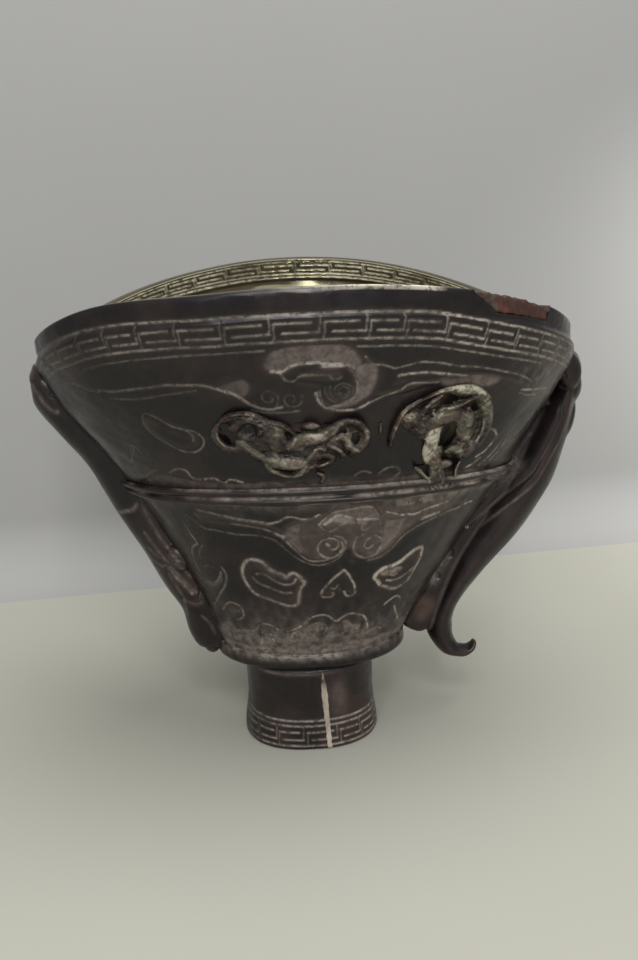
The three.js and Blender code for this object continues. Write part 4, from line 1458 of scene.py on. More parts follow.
@dataclass
class Foot:
    """Short oval foot, hollow underneath, with the leaning split in its near side."""

    columns: int = 560
    per_degree: float = 0.33
    row: float = 0.22
    height: float = 23.4
    profile: Sequence[tuple[float, ...]] = trace("""0 18.4 17.9, 0.25 18.8 18.3, 0.6 19 18.5, 3 18.85 18.4,
        8 18.2 17.9, 11.7 17.9 17.6, 16 17.95 17.65, 20 18.1 17.8, 23.4 18.2 17.9""")
    power: float = 2.3
    recess: Path = trace("12.6 16.5, 12.8 13.5, 13.2 6.5, 13.6 0")
    tenon: float = 9.7
    tenon_top: float = 26.5
    split: Sequence[Place] = ((0.3, 3.9), (23.2, 2.5))
    most_faces: int = 110000

    def place(self, degrees: np.ndarray, heights: np.ndarray) -> np.ndarray:
        """Outer face of the foot."""
        degrees, heights = np.broadcast_arrays(np.asarray(degrees, float), np.asarray(heights, float))
        levels, lengths, depths = zip(*self.profile, strict=True)
        x, y = oval(degrees, np.interp(heights, levels, lengths), np.interp(heights, levels, depths),
                    self.power)
        return np.stack([x + AXIS_X, y, heights], -1)

    def split_degrees(self, height: float) -> float:
        """Where round the foot the split runs at a height."""
        turns = np.linspace(-90, -50, 400)
        across = self.place(turns, height)[:, 0] - AXIS_X
        return float(np.interp(np.interp(height, *zip(*self.split, strict=True)), across, turns))

    def build(self, carve: Callable, finishes: Finishes) -> None:
        """Makes the foot and the wax in its split.

        Args:
            carve: Carves the outer skin.
            finishes: The finishes.
        """
        degrees = degrees_round(self.columns)
        outer = Skin(self.place, steps_up(0.3, self.height, self.row), degrees, 1.0, self.per_degree)
        carve(outer)
        start = self.place(degrees, 0.0)[None]
        tenon = np.stack([ring(self.tenon, self.tenon, height, degrees)
                          for height in (self.height, self.tenon_top)])
        lid = ring(0.05, 0.05, self.tenon_top, degrees)[None]
        roof = ring(0.05, 0.05, self.recess[0][1], degrees)[None]
        recess = np.stack([ring(radius, radius, height, degrees) for radius, height in self.recess])
        obj = turned("horn_foot", [
            plain(start), outer.rows(), plain(tenon), plain(lid), plain(roof), plain(recess),
        ], self.most_faces)
        show(obj, ["foot"], "brown_horn", finishes.foot)
        self.fill_split(finishes)

    def fill_split(self, finishes: Finishes) -> None:
        """Makes the wax in the split, broadest a little under the ledge.

        Args:
            finishes: The finishes.
        """
        heights = np.linspace(0.35, self.height - 0.3, 70)
        half = np.interp(heights, (0, 16.5, 19.5, 23), (0.6, 0.8, 0.55, 0.2)) + 0.05 * np.sin(heights * 2.1)
        spread = np.linspace(-1, 1, 9)
        rows = []
        for height, wide in zip(heights, half, strict=True):
            middle = self.split_degrees(float(height))
            degrees = middle + spread * wide / self.per_degree
            proud = np.sqrt(1 - 0.9 * spread**2)[:, None] * (0, -0.16, 0) + np.array([0, 0.03, 0])
            face = self.place(degrees, height) + proud
            rows.append(np.concatenate([face, face[::-1] + (0, 0.9, 0)]))
        grid = np.stack(rows)
        grid += ripple(grid, 1.1, 0.04, 13)[..., None] * (0, 1, 0)
        masks = no_masks(grid).copy()
        # The wax darkens towards the top, just under the ledge.
        dusty = ease((heights - 17.8) / 2.5)[:, None] + ripple(grid, 2.0, 0.25, 14) - 0.1
        masks[..., 1] = np.clip(dusty, 0, 1)
        obj = make_mesh("wax_foot_seam", grid.reshape(-1, 3), grid_faces(*grid.shape[:2]),
                        masks.reshape(-1, 4))
        close_holes(obj)
        show(tidy_mesh(obj), ["foot_seam_fill"], "pale_wax", finishes.wax)


HANDLE_MARKS = (
    SideMark(traces("""69.5 91.9, 68.8 87.5, 66.7 82, 64 77.1, 62.1 73.8, 59.2 69.6, 49.3 61.4, 43.5 56.2,
        39.2 51.6, 35.6 46.5, 32.7 41, 30.6 36.1"""), 0.35, 4.2, -0.12, 0.1, 0.75),
    SideMark(traces("67.2 91, 66.6 87.5, 64.6 82.6, 61.8 77.6, 58 72, 48.4 63.8, 42 58.2"), 0.6, 2.5, 0.4),
    SideMark(traces("49.8 69.5, 42.5 61.5, 38.6 55.6, 36 50.2, 34.8 47.5"), 0.5, 2.0, 0.3, 0.3, 0.8),
    SideMark(traces("""47.6 67.9, 42 64.8, 36.9 60.1, 34.6 54.4, 31.2 51.3, 29.7 47.3,
        29.7 41.9"""), 0.4, 2.5, 0.35, 0.5, 0.9),
    SideMark(traces("""32.6 50.9, 32.7 50.7; 36.9 50.4, 36.9 50.2; 30.9 47.2, 31 47; 33.1 44.1,
        33.2 43.9"""), 0.9, 2.5, 0.9),
    SideMark(traces("54 75, 46 70, 40 66, 36 60, 33 55"), 2.8, 2.0, 0.0, 0.6, 1.0),
    SideMark(traces("33.5 52.6, 35 49.5, 32.6 46.6, 31.4 43"), 1.9, 2.0, 0.0, 0.6, 1.0),
    SideMark(traces("24.2 34.5, 28 36.5, 30.5 35.2, 28.4 32.4"), 2.2, 2.0, 0.0, 0.0, 0.2, 1.6),
    SideMark(traces("71 92.1, 70 88.7, 69.6 86.4, 68.9 83.7, 68.5 81.3"), 0.35, 2.0, 0.0, 0.15, 0.7),
    SideMark(traces("59.4 83.6, 57.7 81.3, 56.1 79, 53 75.4"), 0.35, 3.0, 0.2, 0.1, 0.6),
    SideMark(traces("""57 107, 60 104, 63 100; 61 108, 64.5 104.5, 67.2 100; 59 98, 62.6 95.4,
        64 92"""), 0.55, 2.5, 0.45, 0.0, 0.5),
)
SPOUT_MARKS = (
    SideMark(traces("-75.1 107.3, -74.5 105.8, -74.1 104.6"), 0.6, 1.0, -0.35),
    # Pale wax and dust on the spout lump's glossy spot: partly its olive tone, partly a painted highlight.
    SideMark(traces("""-73.5 103.7, -72.4 102, -71.1 99.8, -69.2 97.3,
        -67.7 96.7"""), 0.6, 3.0, -0.1, 0.25, 0.7),
    SideMark(traces("-63.3 95.4, -58.1 89.2, -54.1 83.8, -51.8 79.6"), 0.6, 4.5, -0.4, 0.0, 0.25, 0.8),
    SideMark(traces("""-68.5 101.4, -63.7 98.5, -60.2 94.4, -56.6 90.2, -54.4 86,
        -52.1 81.8"""), 0.45, 5.0, 0.5, 0.0, 0.4),
    SideMark(traces("-54.2 67.2, -52.3 68.2, -50.3 68.9, -48.9 70.2"), 0.55, 2.0, 0.1, 0.6, 0.9),
    SideMark(traces("""-48.3 75.7, -47.7 70.9, -46.9 68.4, -45 64.2, -43 60.3, -40.5 57,
        -38.7 55.2"""), 0.4, 4.0, 0.35, 0.2, 0.7),
    SideMark(traces("-47.6 62.2, -43.5 56, -39 49.9, -34.6 44.7"), 0.4, 3.5, 0.3, 0.2, 0.7),
    SideMark(traces("-41.5 52.2, -40.4 50, -39.1 48.5, -37.3 46.4, -35.7 44.4"), 0.38, 3.5, 0.3, 0.7, 1.0),
    SideMark(traces("-39.4 53.8, -37.9 52.3, -36.7 50.5, -35.8 49.4"), 0.3, 3.5, 0.2, 0.3, 0.7),
    SideMark(traces("""-41.4 54.3, -39.3 55.2, -36.8 53.7, -34.1 49.3, -33.3 45.7,
        -33.8 42.8"""), 0.5, 3.5, 0.5, 0.0, 0.4),
    SideMark(traces("""-46.9 57.1, -45.4 55.6, -43.8 54.8; -45.3 52.8, -43.6 52.3, -42.3 52.9; -41.8 50.1,
        -40.6 47.5, -39.4 45.3, -38.3 42.4"""), 0.4, 1.5, 0.4, 0.1, 0.6),
    SideMark(traces("-37.9 42, -35.3 41.1, -33.3 41.7"), 0.45, 1.5, 0.5, 0.0, 0.6),
    SideMark(traces("""-38.3 41.7, -37.8 39.5, -37.8 36.6, -37.6 34; -33.5 37.4, -31.3 34.4,
        -30.2 31.4"""), 0.35, 2.0, 0.0, 0.1, 0.7),
)


def end_ring(degrees: float, level: float, out: float, high: float, wide: float) -> Ring:
    """Section of a strap that runs up one end of the bowl.

    Args:
        degrees: 0 at the handle's end, 180 at the spout's.
        level: Level on the wall.
        out: Distance from the wall.
        high: Half size square to the wall.
        wide: Half size across.

    Returns:
        The section.
    """
    height = float(WALL.side_height(level))
    around = WALL.point(degrees + 0.5, height) - WALL.point(degrees - 0.5, height)
    upward = WALL.point(degrees, height + 0.3) - WALL.point(degrees, height - 0.3)
    normal = np.cross(around, upward) * (1, 0, 1)
    normal /= np.linalg.norm(normal)
    return Ring(WALL.point(degrees, height) + normal * out, normal, np.array([0.0, 1.0, 0.0]), high, wide)


@dataclass
class HandleDragon:
    """Long strap dragon with a web to the wall and a curled tail."""

    stand_off: float = 9.6
    half_depth: float = 7.0
    half_width: float = 7.0
    web_half_width: float = 3.8
    strap: Sequence[tuple[float, ...]] = trace("""3.25 0.05 0.38 0.72, 3.05 0.18 0.5 0.9, 2.75 0.36 0.58 1,
        2.53 0.54 0.78 1, 2.17 0.82 0.96 1, 1.95 0.94 0.92 1, 1.6 0.9 0.95 1, 1.2 0.78 0.76 0.95,
        0.8 0.8 0.55 0.85""")
    tail: Sequence[tuple[float, ...]] = trace("""1.135 1.325 0.52 0.76 -12, 1.095 1.167 0.55 0.68 0,
        1.165 1.026 0.47 0.6 10, 1.417 0.863 0.37 0.52 31, 1.708 0.82 0.285 0.48 65,
        1.927 0.816 0.25 0.44 80, 2.115 0.868 0.19 0.36 115, 2.167 0.927 0.115 0.26 150""")
    web: Path = trace("2.65 0.3, 2.3 0.45, 1.9 0.58, 1.5 0.55, 1.1 0.45, 0.7 0.4, 0.3 0.37, 0.18 0.33")
    lumps: Sequence[tuple[float, ...]] = trace("""2.75 0 0.55 0.62 0.9 0.88 0, 2.4 0 1.44 0.35 0.6 0.95 12,
        2.95 6 0.12 0.5 0.42 0.75 -10, 2.95 -6 0.12 0.5 0.42 0.75 -10""")
    foot_height: float = 23.4

    def build(self, finishes: Finishes) -> None:
        """Makes the piece.

        Args:
            finishes: The finishes.
        """
        piece = Sculpture("horn_handle_dragon", 0.42)
        rings = [end_ring(0, level, self.stand_off * out, self.half_depth * high, self.half_width * wide)
                 for level, out, high, wide in self.strap]
        end = WALL.point(0, WALL.base_side, 1.0)
        for out, height, high, wide, turn in self.tail:
            way = np.array([math.cos(math.radians(turn)), 0, math.sin(math.radians(turn))])
            rings.append(Ring(np.array([end[0] + out * self.stand_off, 0, height * self.foot_height]), way,
                              np.array([0.0, 1.0, 0.0]), high * self.half_depth, wide * self.half_width))
        piece.strap(rings, 1.6)
        piece.strap([end_ring(0, level, self.stand_off * fill, (self.stand_off + 2) * fill,
                              self.web_half_width)
                     for level, fill in self.web], 4.0)
        for level, turn, out, *sizes, tilt in self.lumps:
            piece.lump(WALL.point(turn, WALL.side_height(level), out * self.half_depth), tilted(tilt),
                       [self.half_depth * share for share in sizes])
        piece.merge()
        for mark in HANDLE_MARKS:
            piece.mark(mark)
        show(piece.finish(), ["handle_dragon"], "dark_horn", finishes.handle)


def tilted(turn: float) -> np.ndarray:
    """Three directions, turned about the cup's Y."""
    cosine, sine = math.cos(math.radians(turn)), math.sin(math.radians(turn))
    return np.array([[cosine, 0, -sine], [0, 1, 0], [sine, 0, cosine]])


@dataclass
class SpoutDragon:
    """Dragon band under the spout's end."""

    proud: float = 7.5
    half_width: float = 8.0
    strap: Sequence[tuple[float, ...]] = trace("""3.35 0.2 0.5, 3.15 0.42 0.8, 3 0.62 0.95, 2.85 0.8 0.95,
        2.6 0.78 0.85, 2.3 0.83 0.8, 2 1.05 0.85, 1.75 1.1 0.9, 1.45 1.03 1, 1.1 1 1.05, 0.75 0.87 0.95,
        0.4 1.02 0.8, 0.12 1 0.7""")
    lumps: Sequence[tuple[float, ...]] = trace("""2.9 0 0 0.44 0.9 0.8 0, 0 0 0.33 0.42 0.62 0.7 0,
        1.23 11 0.05 0.38 0.3 0.53 -30, 1.23 -11 0.05 0.38 0.3 0.53 -30, 1.33 17 0.05 0.38 0.3 0.53 -30,
        1.33 -17 0.05 0.38 0.3 0.53 -30""")

    def build(self, finishes: Finishes) -> None:
        """Makes the piece.

        Args:
            finishes: The finishes.
        """
        piece = Sculpture("horn_spout_dragon", 0.42)
        piece.strap([end_ring(180, level, 0.0, self.proud * high, self.half_width * wide)
                     for level, high, wide in self.strap])
        for level, turn, out, *sizes, tilt in self.lumps:
            piece.lump(WALL.point(180 + turn, WALL.side_height(level), out * self.proud), tilted(tilt),
                       [self.proud * share for share in sizes])
        piece.merge()
        for mark in SPOUT_MARKS:
            piece.mark(mark)
        show(piece.finish(), ["spout_dragon"], "dark_horn", finishes.handle)


@dataclass
class ReliefDragon:
    """Relief dragon on the near side, and its like on the far side."""

    name: str
    near_node: str
    far_node: str
    masses: Sequence[Mass]
    drawing: "Drawing"
    span: tuple[float, float]
    heights: tuple[float, float]
    toward: tuple[float, float, float]
    finish: str
    powder: float = 0.85
    step: float = 0.145
    per_degree: float = 1.02
    sunk: float = 0.7

    def build(self, finishes: Finishes) -> None:
        """Makes both pieces.

        Args:
            finishes: The finishes.
        """
        step = self.step * 1
        degrees = np.linspace(*self.span, round((self.span[1] - self.span[0]) * self.per_degree / step))
        heights = np.linspace(*self.heights, round((self.heights[1] - self.heights[0]) / step))
        skin = Skin(WALL.point, heights, degrees, 1.0, self.per_degree)
        toward = np.array(self.toward)
        skin.toward = toward / np.linalg.norm(toward)
        for mass in self.masses:
            skin.relief = np.maximum(skin.relief, mass.height(skin))
        body = skin.relief.copy()
        skin.relief = blurred(skin.relief, 1, False) + np.where(body > 0.4, ripple(skin.points, 2.2, 0.16, 21)
                                                               + ripple(skin.points, 0.9, 0.06, 22), 0)
        self.drawing.cut(skin, near_only=True)
        mottled = np.clip(0.45 + ripple(skin.points, 4.5, 0.4, 23) + ripple(skin.points, 1.2, 0.25, 24), 0, 1)
        # Hollows keep little dust so they stay dark, a painted shade; taller masses get paler dust and wax, a
        # painted highlight over the mottled dust.
        skin.hollow_dust = 0.12
        tall = ease((blurred(skin.relief + skin.raised, 2, False) - 0.9) / 2.2)
        skin.dust = np.clip(np.maximum(skin.dust, self.powder * mottled) * (0.6 + 0.5 * tall), 0, 1)
        skin.wax = np.maximum(skin.wax, 0.8 * ease((mottled - 0.72) / 0.25) * tall)
        shown = ease(blurred(body, 2, False) / 0.35)
        skin.relief = skin.relief * shown - self.sunk * (1 - shown)
        skin.level, skin.cuts, skin.raised = skin.level * shown, skin.cuts * shown, skin.raised * shown
        points, masks = skin.rows()
        quads = grid_faces(*points.shape[:2], close_columns=False)
        buried = (body < 0.02).ravel()
        quads = quads[~buried[quads].all(1)]
        near = make_mesh(f"horn_{self.name}", points.reshape(-1, 3), quads, masks.reshape(-1, 4))
        close_holes(near)
        far = near.copy()
        far.data = near.data.copy()
        far.name = f"horn_far_{self.name}"
        bpy.context.scene.collection.objects.link(far)
        flip = bmesh.new()
        flip.from_mesh(far.data)
        bmesh.ops.scale(flip, vec=(1, -1, 1), verts=flip.verts)
        bmesh.ops.reverse_faces(flip, faces=flip.faces)
        flip.to_mesh(far.data)
        flip.free()
        show(near, [self.near_node], "dark_horn", getattr(finishes, self.finish))
        show(far, [self.far_node], "dark_horn", getattr(finishes, self.finish))


@dataclass
class RimRepair:
    """Rough patch of redder horn let into the rim."""

    start: float = -60.1
    end: float = -35.4
    top: float = 130.2
    bowl: UpperBowl = field(default_factory=UpperBowl)

    def build(self, finishes: Finishes) -> None:
        """Makes the piece.

        Args:
            finishes: The finishes.
        """
        degrees = np.linspace(self.start, self.end, 120)
        bottom = self.bowl.top(degrees) + 0.05
        profile = trace("""0 -0.05, 0.2 -0.1, 0.4 -0.16, 0.6 -0.24, 0.8 -0.36, 0.93 -0.8, 0.98 -1.4,
            0.99 -2.2, 0.97 -3, 0.9 -3.6, 0.75 -3.85, 0.5 -3.9, 0 -3.9, 0 -2""")
        least = bottom + 0.02
        tall = np.maximum(self.top, least) - bottom
        lost = np.interp(degrees, (-60, -55, -50, -42, -38, -35.6), (0, 0.25, 0.1, 0.2, 1.1, 1.9))
        chipped = self.top + 0.05 - lost
        most = np.maximum(chipped, least)
        grid = np.stack([WALL.point(degrees, np.minimum(bottom + tall * share, most), out)
                         for share, out in profile])
        uneven = ripple(grid, 2.4, 0.16, 5) + ripple(grid, 1.0, 0.09, 6)
        masks = no_masks(grid).copy()
        side = ease((-51 - degrees) / 6) + ease((degrees + 40) / 4)
        dusty = side * (0.8 + ripple(grid, 1.6, 0.4, 7)) + ripple(grid, 2.2, 0.6, 17) - 0.15
        masks[..., 1] = np.clip(dusty, 0, 1)
        away = grid - grid.mean(0, keepdims=True)
        away /= np.maximum(np.linalg.norm(away, axis=-1, keepdims=True), 1e-6)
        grid = grid + away * (uneven - 0.12)[..., None]
        quads = grid_faces(*grid.shape[:2], close_rows=True, close_columns=False)
        obj = make_mesh("horn_rim_repair", grid.reshape(-1, 3), quads, masks.reshape(-1, 4))
        close_holes(obj)
        show(tidy_mesh(obj), ["rim_repair"], "repair_horn", finishes.repair)


# ---------------------------- the carver's drawing


@dataclass(frozen=True)
class Motif:
    """Lines cut with one tool on the near side, and again on the far side as its mirror image."""

    tool: Tool
    paths: Sequence[Path]
    closed: bool = False
    straight: bool = False


def both_sides(paths: Sequence[Path]) -> list[list[Place]]:
    """The near side's lines and their mirror images on the far side."""
    return [list(path) for path in paths] + [[(-turn, height) for turn, height in path] for path in paths]


@dataclass(frozen=True)
class Drawing:
    """Everything cut into one stretch of the wall."""

    grounds: Sequence[Ground]
    motifs: Sequence[Motif]

    def cut(self, skin: Skin, near_only: bool = False) -> None:
        """Cuts the drawing into a skin.

        Args:
            skin: The wall.
            near_only: Whether it goes on the near side alone.
        """
        for ground in self.grounds:
            skin.clear(ground)
            if not near_only:
                skin.clear(ground, mirrored=True)
        for motif in self.motifs:
            paths = motif.paths if near_only else both_sides(motif.paths)
            skin.engrave(motif.tool, paths, motif.closed, motif.straight)


UPPER_RUYI = Drawing((
    Ground(trace("""-100.5 112.5, -99.5 115, -98 116.3, -94 117, -88 117, -85 116, -83.5 113.5, -83 111,
        -84.5 111, -86 111.8, -88 111.8, -91 112.7, -94 112.6, -96 112, -97.5 111,
        -99 111.2"""), 0.55, 0.7, 0.1, 0.95),
    Ground(trace("""-84.2 110.8, -84 107, -85 104.2, -87.5 102.7, -89.5 102, -89.3 101.5, -86 101.7,
        -83.3 102.9, -81.2 105, -80.2 108, -80.1 111, -82 112.3"""), 0.45, 0.6, 0.08, 0.9),
    Ground(trace("""-111.5 108.2, -107 109.8, -105 109.5, -104.3 107.5, -106 105.5,
        -108.8 106.9"""), 0.35, 0.6, 0, 0.7),
    Ground(trace("-94.5 110.2, -91 111.2, -87.5 110.6, -87 109, -90 108.2, -93.5 108.6"), -0.35, 1.0),
), (
    Motif(Tool.LINE, traces("""-99.5 111.3, -97.5 111, -96 112, -94 112.6, -91 112.7, -88 111.8,
        -86 111.8, -84.5 111; -91.6 105.5, -91 103, -89 101.2, -86 100.8, -83.5 101.2, -81.5 102.5""")),
    Motif(Tool.GRAVER, traces("-90.2 112.1, -88.5 112, -87 111.9")),
    Motif(Tool.SCRATCH, traces("""-97.7 110.5, -97 109, -95.7 108.6, -95 109, -94.2 110; -94 110,
        -92 110.1, -89.3 109.8, -88.7 109, -87.8 108.7, -87 109.2; -91 106, -90.8 104, -89.5 102.3,
        -87 102, -84.8 103.5, -83.9 106, -84.3 109, -85.5 111; -105 102, -102 101.2, -98 101, -95 101.2;
        -82.5 114, -81 112, -79 111.7, -76.5 110.8""")),
    Motif(Tool.HAIR, (
        volute((-86.9, 105.6), 3.7, 1.2, 1.5, 160, 1, 1.17),
        volute((-86.9, 105.6), 3.0, 0.7, 1.3, 150, 1, 1.17),
    )),
    Motif(Tool.HAIR, (
        volute((-101, 104.8), 3.6, 0.9, 1.5, 200, 1, 1.17),
        volute((-96.5, 104.2), 2.8, 0.8, 1.2, 20, -1, 1.17),
    )),
    Motif(Tool.LINE, traces("""-109.5 107.5, -107 105.5, -104.8 103.4, -103 102.4, -101 102,
        -98.5 102.4""")),
))

UPPER_RIBBONS = Drawing((
    # Cut-back ground with pale dust, partly a painted pink highlight.
    Ground(trace("""-66 107.8, -62 108.6, -57 109.2, -51 109.2, -49.5 107.9, -53 106.6, -58 105.8,
        -63 105.8"""), 0.25, 0.8, 0.1, 0.85),
    Ground(trace("""-80 104.5, -76 106.2, -72 107.6, -66 108.6, -60 109.9, -52 110, -44 109.2, -38 108,
        -39 107.2, -46 108.4, -54 108.8, -62 108.2, -69 106.6, -75 104.6"""), -0.3, 0.8),
), (
    Motif(Tool.LINE, traces("""-142 111.5, -138 110.7, -133 110.4, -127 110.2, -122 110.3, -118 109.8,
        -114 109.2, -111.5 108.2, -109 106.8; -75.5 109, -73 109.5, -70 109.7, -66.5 109.6, -64.3 109.4;
        -39.5 106, -34 106.4, -30 107, -25 107.6""")),
    Motif(Tool.SCRATCH, traces("""-155 115.2, -150 114.3, -146 112.3, -142 111.1; -140 109, -135 108.2,
        -130 107.6, -125 107.9, -120 108, -116 108.2; -81.5 102.5, -79.5 103.5, -77.5 104.5, -75 105.5,
        -73 107, -70 107.3, -66.5 107.4; -76.5 110.8, -74 111.5, -71.5 112.3, -67 112.2, -62 111.5,
        -57 111.4, -50 110.8, -42 110, -36 108.6; -64.3 109.4, -59 109.1, -54 109; -40 105, -36 104.6,
        -31 105""")),
))

LEAF_EYE = Drawing((
    Ground(trace("""-130.5 102.5, -127 99.8, -122.8 97.2, -120 96.2, -119.8 93.8, -122.5 92.6,
        -126 93.4, -129.5 95.6, -132.4 99, -132.6 101.8"""), -0.35, 1.1),
), (
    Motif(Tool.SCRATCH, traces("""-131 103.5, -128.5 102, -127 100.5, -125 99, -122.5 98, -120.5 97.5,
        -119.2 96.5, -118.6 95, -119.3 93.3, -121 92, -123 91.5, -126 92, -129 94, -131.5 96, -133 98.3,
        -133.5 100.5, -132.5 102.7"""), closed=True),
    Motif(Tool.SCRATCH, traces("-122 97.5, -120.8 96.2, -121.3 95")),
))

UPPER_CLOUDS = Drawing((
    Ground(trace("""-152 81.5, -146 83.2, -140 84.6, -132 84.2, -126 83, -119 82.6, -112 82.2,
        -104 82.4, -96 81.6, -88 81.9, -80 81.5, -70 82, -60 81.8, -50 81.9, -40 81.4, -40 79.4,
        -60 79.3, -90 79.3, -120 79.3, -152 79.4"""), 0.2, 0.7, 0.12, 0.75),
), (
    Motif(Tool.SCRATCH, traces("-150 88.5, -146.5 90.6, -143 93.5")),
    Motif(Tool.LINE, traces("""-134 85.5, -131 86.5, -128 86.2, -126.8 84, -124.5 83.5; -123 83.5,
        -120 83.8, -117.5 82.5, -115 83.3, -112 82.5; -92.5 84.5, -91 84, -91 82.5, -92 81.5; -66 86.5,
        -64 84.4, -62.5 83.6""")),
    Motif(Tool.SCRATCH, traces("""-148 89, -146 92, -144 94, -142 93.5, -141.5 91.5; -150 83.7, -146 84,
        -142 85.5, -139 86; -78 83, -76 84.6, -73.5 84.8, -72 83.4, -73 82.2; -84 83.2, -82 84.2,
        -80 83.6""")),
    Motif(Tool.LINE, traces("""-47 85.5, -44 87, -42.5 89, -41.5 91; -47 94, -44 93.5, -42 92; -44 82.5,
        -40 85.5, -38 89; -40 82.5, -36.5 86, -35 90; -50 82.3, -47 83.4, -45 85""")),
))

LOWER_RUYI = Drawing((
    Ground(trace("""-103 67, -100 70.5, -92 72.5, -84 75, -76 74.5, -66 73, -52 74.8, -44 73, -50 70.6,
        -58 69, -64 66.2, -68.5 61, -74 58.6, -80 61, -86 62, -91 59.6, -96 61"""), 0.0, 1.0, 0.0, 0.5),
    Ground(trace("""-103.5 66.5, -101 69, -98.5 70, -97.7 70, -98 66, -97.2 62.5, -98 61.5,
        -100.5 63.8"""), 0.4, 0.5, 0.12, 0.9),
    Ground(trace("""-92.5 69.7, -91 71.4, -89.5 72.6, -87 73.6, -83 74, -80 74.3, -77.5 73.8, -75.8 72,
        -75.4 70.3, -78 70, -82 70, -84.5 70.8, -87.5 71.5, -89.2 70.7,
        -91 69.3"""), 0.45, 0.5, 0.1, 0.95),
    Ground(trace("""-72.5 69.5, -70 69.2, -66 69.4, -66.2 67, -67.3 64, -69.5 61.5, -71 60, -72.2 61,
        -72 64, -72.6 66.5"""), 0.45, 0.5, 0.12, 0.95),
    Ground(trace("""-97.5 69.5, -95 70.2, -92.8 69.3, -93 67, -95.5 66.2,
        -97.6 66.8"""), 0.2, 0.6, 0, 0.35),
    Ground(trace("""-131 71.5, -122 70.8, -114 69.9, -108 69, -105.5 67.6, -103 65.6, -99.5 62,
        -96.5 59.6, -93 58.4, -89 58.5, -86 60, -87 61, -90 60.2, -94 60.3, -98 63, -102 67, -106 70,
        -113 71.3, -122 72.4, -131 73.6"""), -0.4, 0.8),
    Ground(trace("""-82.5 59.5, -79 58.2, -74 57.4, -70 58.4, -66.6 61, -63.5 64.4, -58 66.8, -50 68.6,
        -42 69.6, -42 72.4, -50 71.8, -58 70.4, -64 67.6, -68.6 63, -72 60.8, -77 60.2,
        -81 62"""), -0.35, 0.8),
), (
    Motif(Tool.LINE, traces("""-131 74, -126 73.3, -120 72.2, -115 71.5, -110 70.9, -107 70.5, -104 71,
        -102 72, -99.5 72, -97.5 71.4, -95 71.3, -92.5 72.5; -120 70.2, -115 69.7, -110 69, -107 68,
        -105.5 67.5, -103 65.5, -101 63.5, -98.5 61.2, -97 60, -95 59, -92.5 58.7, -90 58.9, -87.5 59.7,
        -85.7 61, -85 62.5, -85.8 64; -92.5 69.5, -91 71, -89.5 72.3, -87 73, -83 73.2, -80 73.7,
        -77.5 73.2, -76 71.5, -75.5 70.3, -78 70, -82 70, -84.5 70.8, -87.5 71.5, -89.2 70.7, -91 69.3;
        -75 57.8, -71 58.3, -68 59.8, -66.5 61.5, -65 63.5, -62.5 65.2, -59 66.7, -55 68, -51 68.6,
        -47 69.3, -44 69.5, -40 70.2, -36 70.5; -73 71.9, -71 71.3, -68 70.5, -66 70.7, -64.5 70.2,
        -62 70.5, -59.5 71.3, -56 71.8, -52 72.3, -49 72.7""")),
    Motif(Tool.SCRATCH, traces("""-137 72, -134 69.8, -131 68, -127 67.7, -120 67, -113 66.7,
        -109.5 66.3, -106.5 65.3, -104 63.5, -101.5 61.3, -98.5 59.3, -95.5 58, -92 57.3, -89 57.7,
        -86 59, -84.8 60.5; -92 69, -90.8 67.8, -89.5 67.4, -88.2 67.8, -87 69, -85 69.5, -83 69.3,
        -80.5 68.9, -80 67.6, -79 67, -77.7 67.6, -77 69; -77 70, -75.5 70, -74.5 69, -74.5 67.8,
        -75.3 67.3; -81.3 63.5, -81.5 61.5, -80 60, -77.5 59.3, -75 59.2; -74.5 66.5, -73 66,
        -72.3 64.5, -72.5 63; -63 70, -59 71, -56 71.5, -53 71.7, -50 72.3""")),
    Motif(Tool.LINE, traces("""-89.1 62, -87.6 61.8, -86.6 63, -87.1 64.5, -89.1 65.3, -91.4 64.5,
        -92.6 62.5, -91.6 60.5, -89.1 59.6, -86.4 60, -84.4 61.8, -84.1 63.5, -85.6 65.2, -88.1 66;
        -78.5 65.9, -81 64.9, -81.6 62.4, -80.5 60.3, -78 59, -75.4 58.8, -73 59.6, -71.6 61.6,
        -72.4 63.8, -75 64.9, -77.4 63.9, -77.9 62.2, -76.3 61.2, -74.9 62""")),
    Motif(Tool.GRAVER, traces("""-90 63.6, -89.5 63; -105.5 67.4, -104.4 66.9, -103.3 66.4; -60 68.7,
        -57 69.2, -53.5 69.8""")),
    Motif(Tool.SCOOP, traces("-88 71.2, -84.5 70.5, -80 69.8; -70 74.2, -62 74.4, -54 74.6")),
))

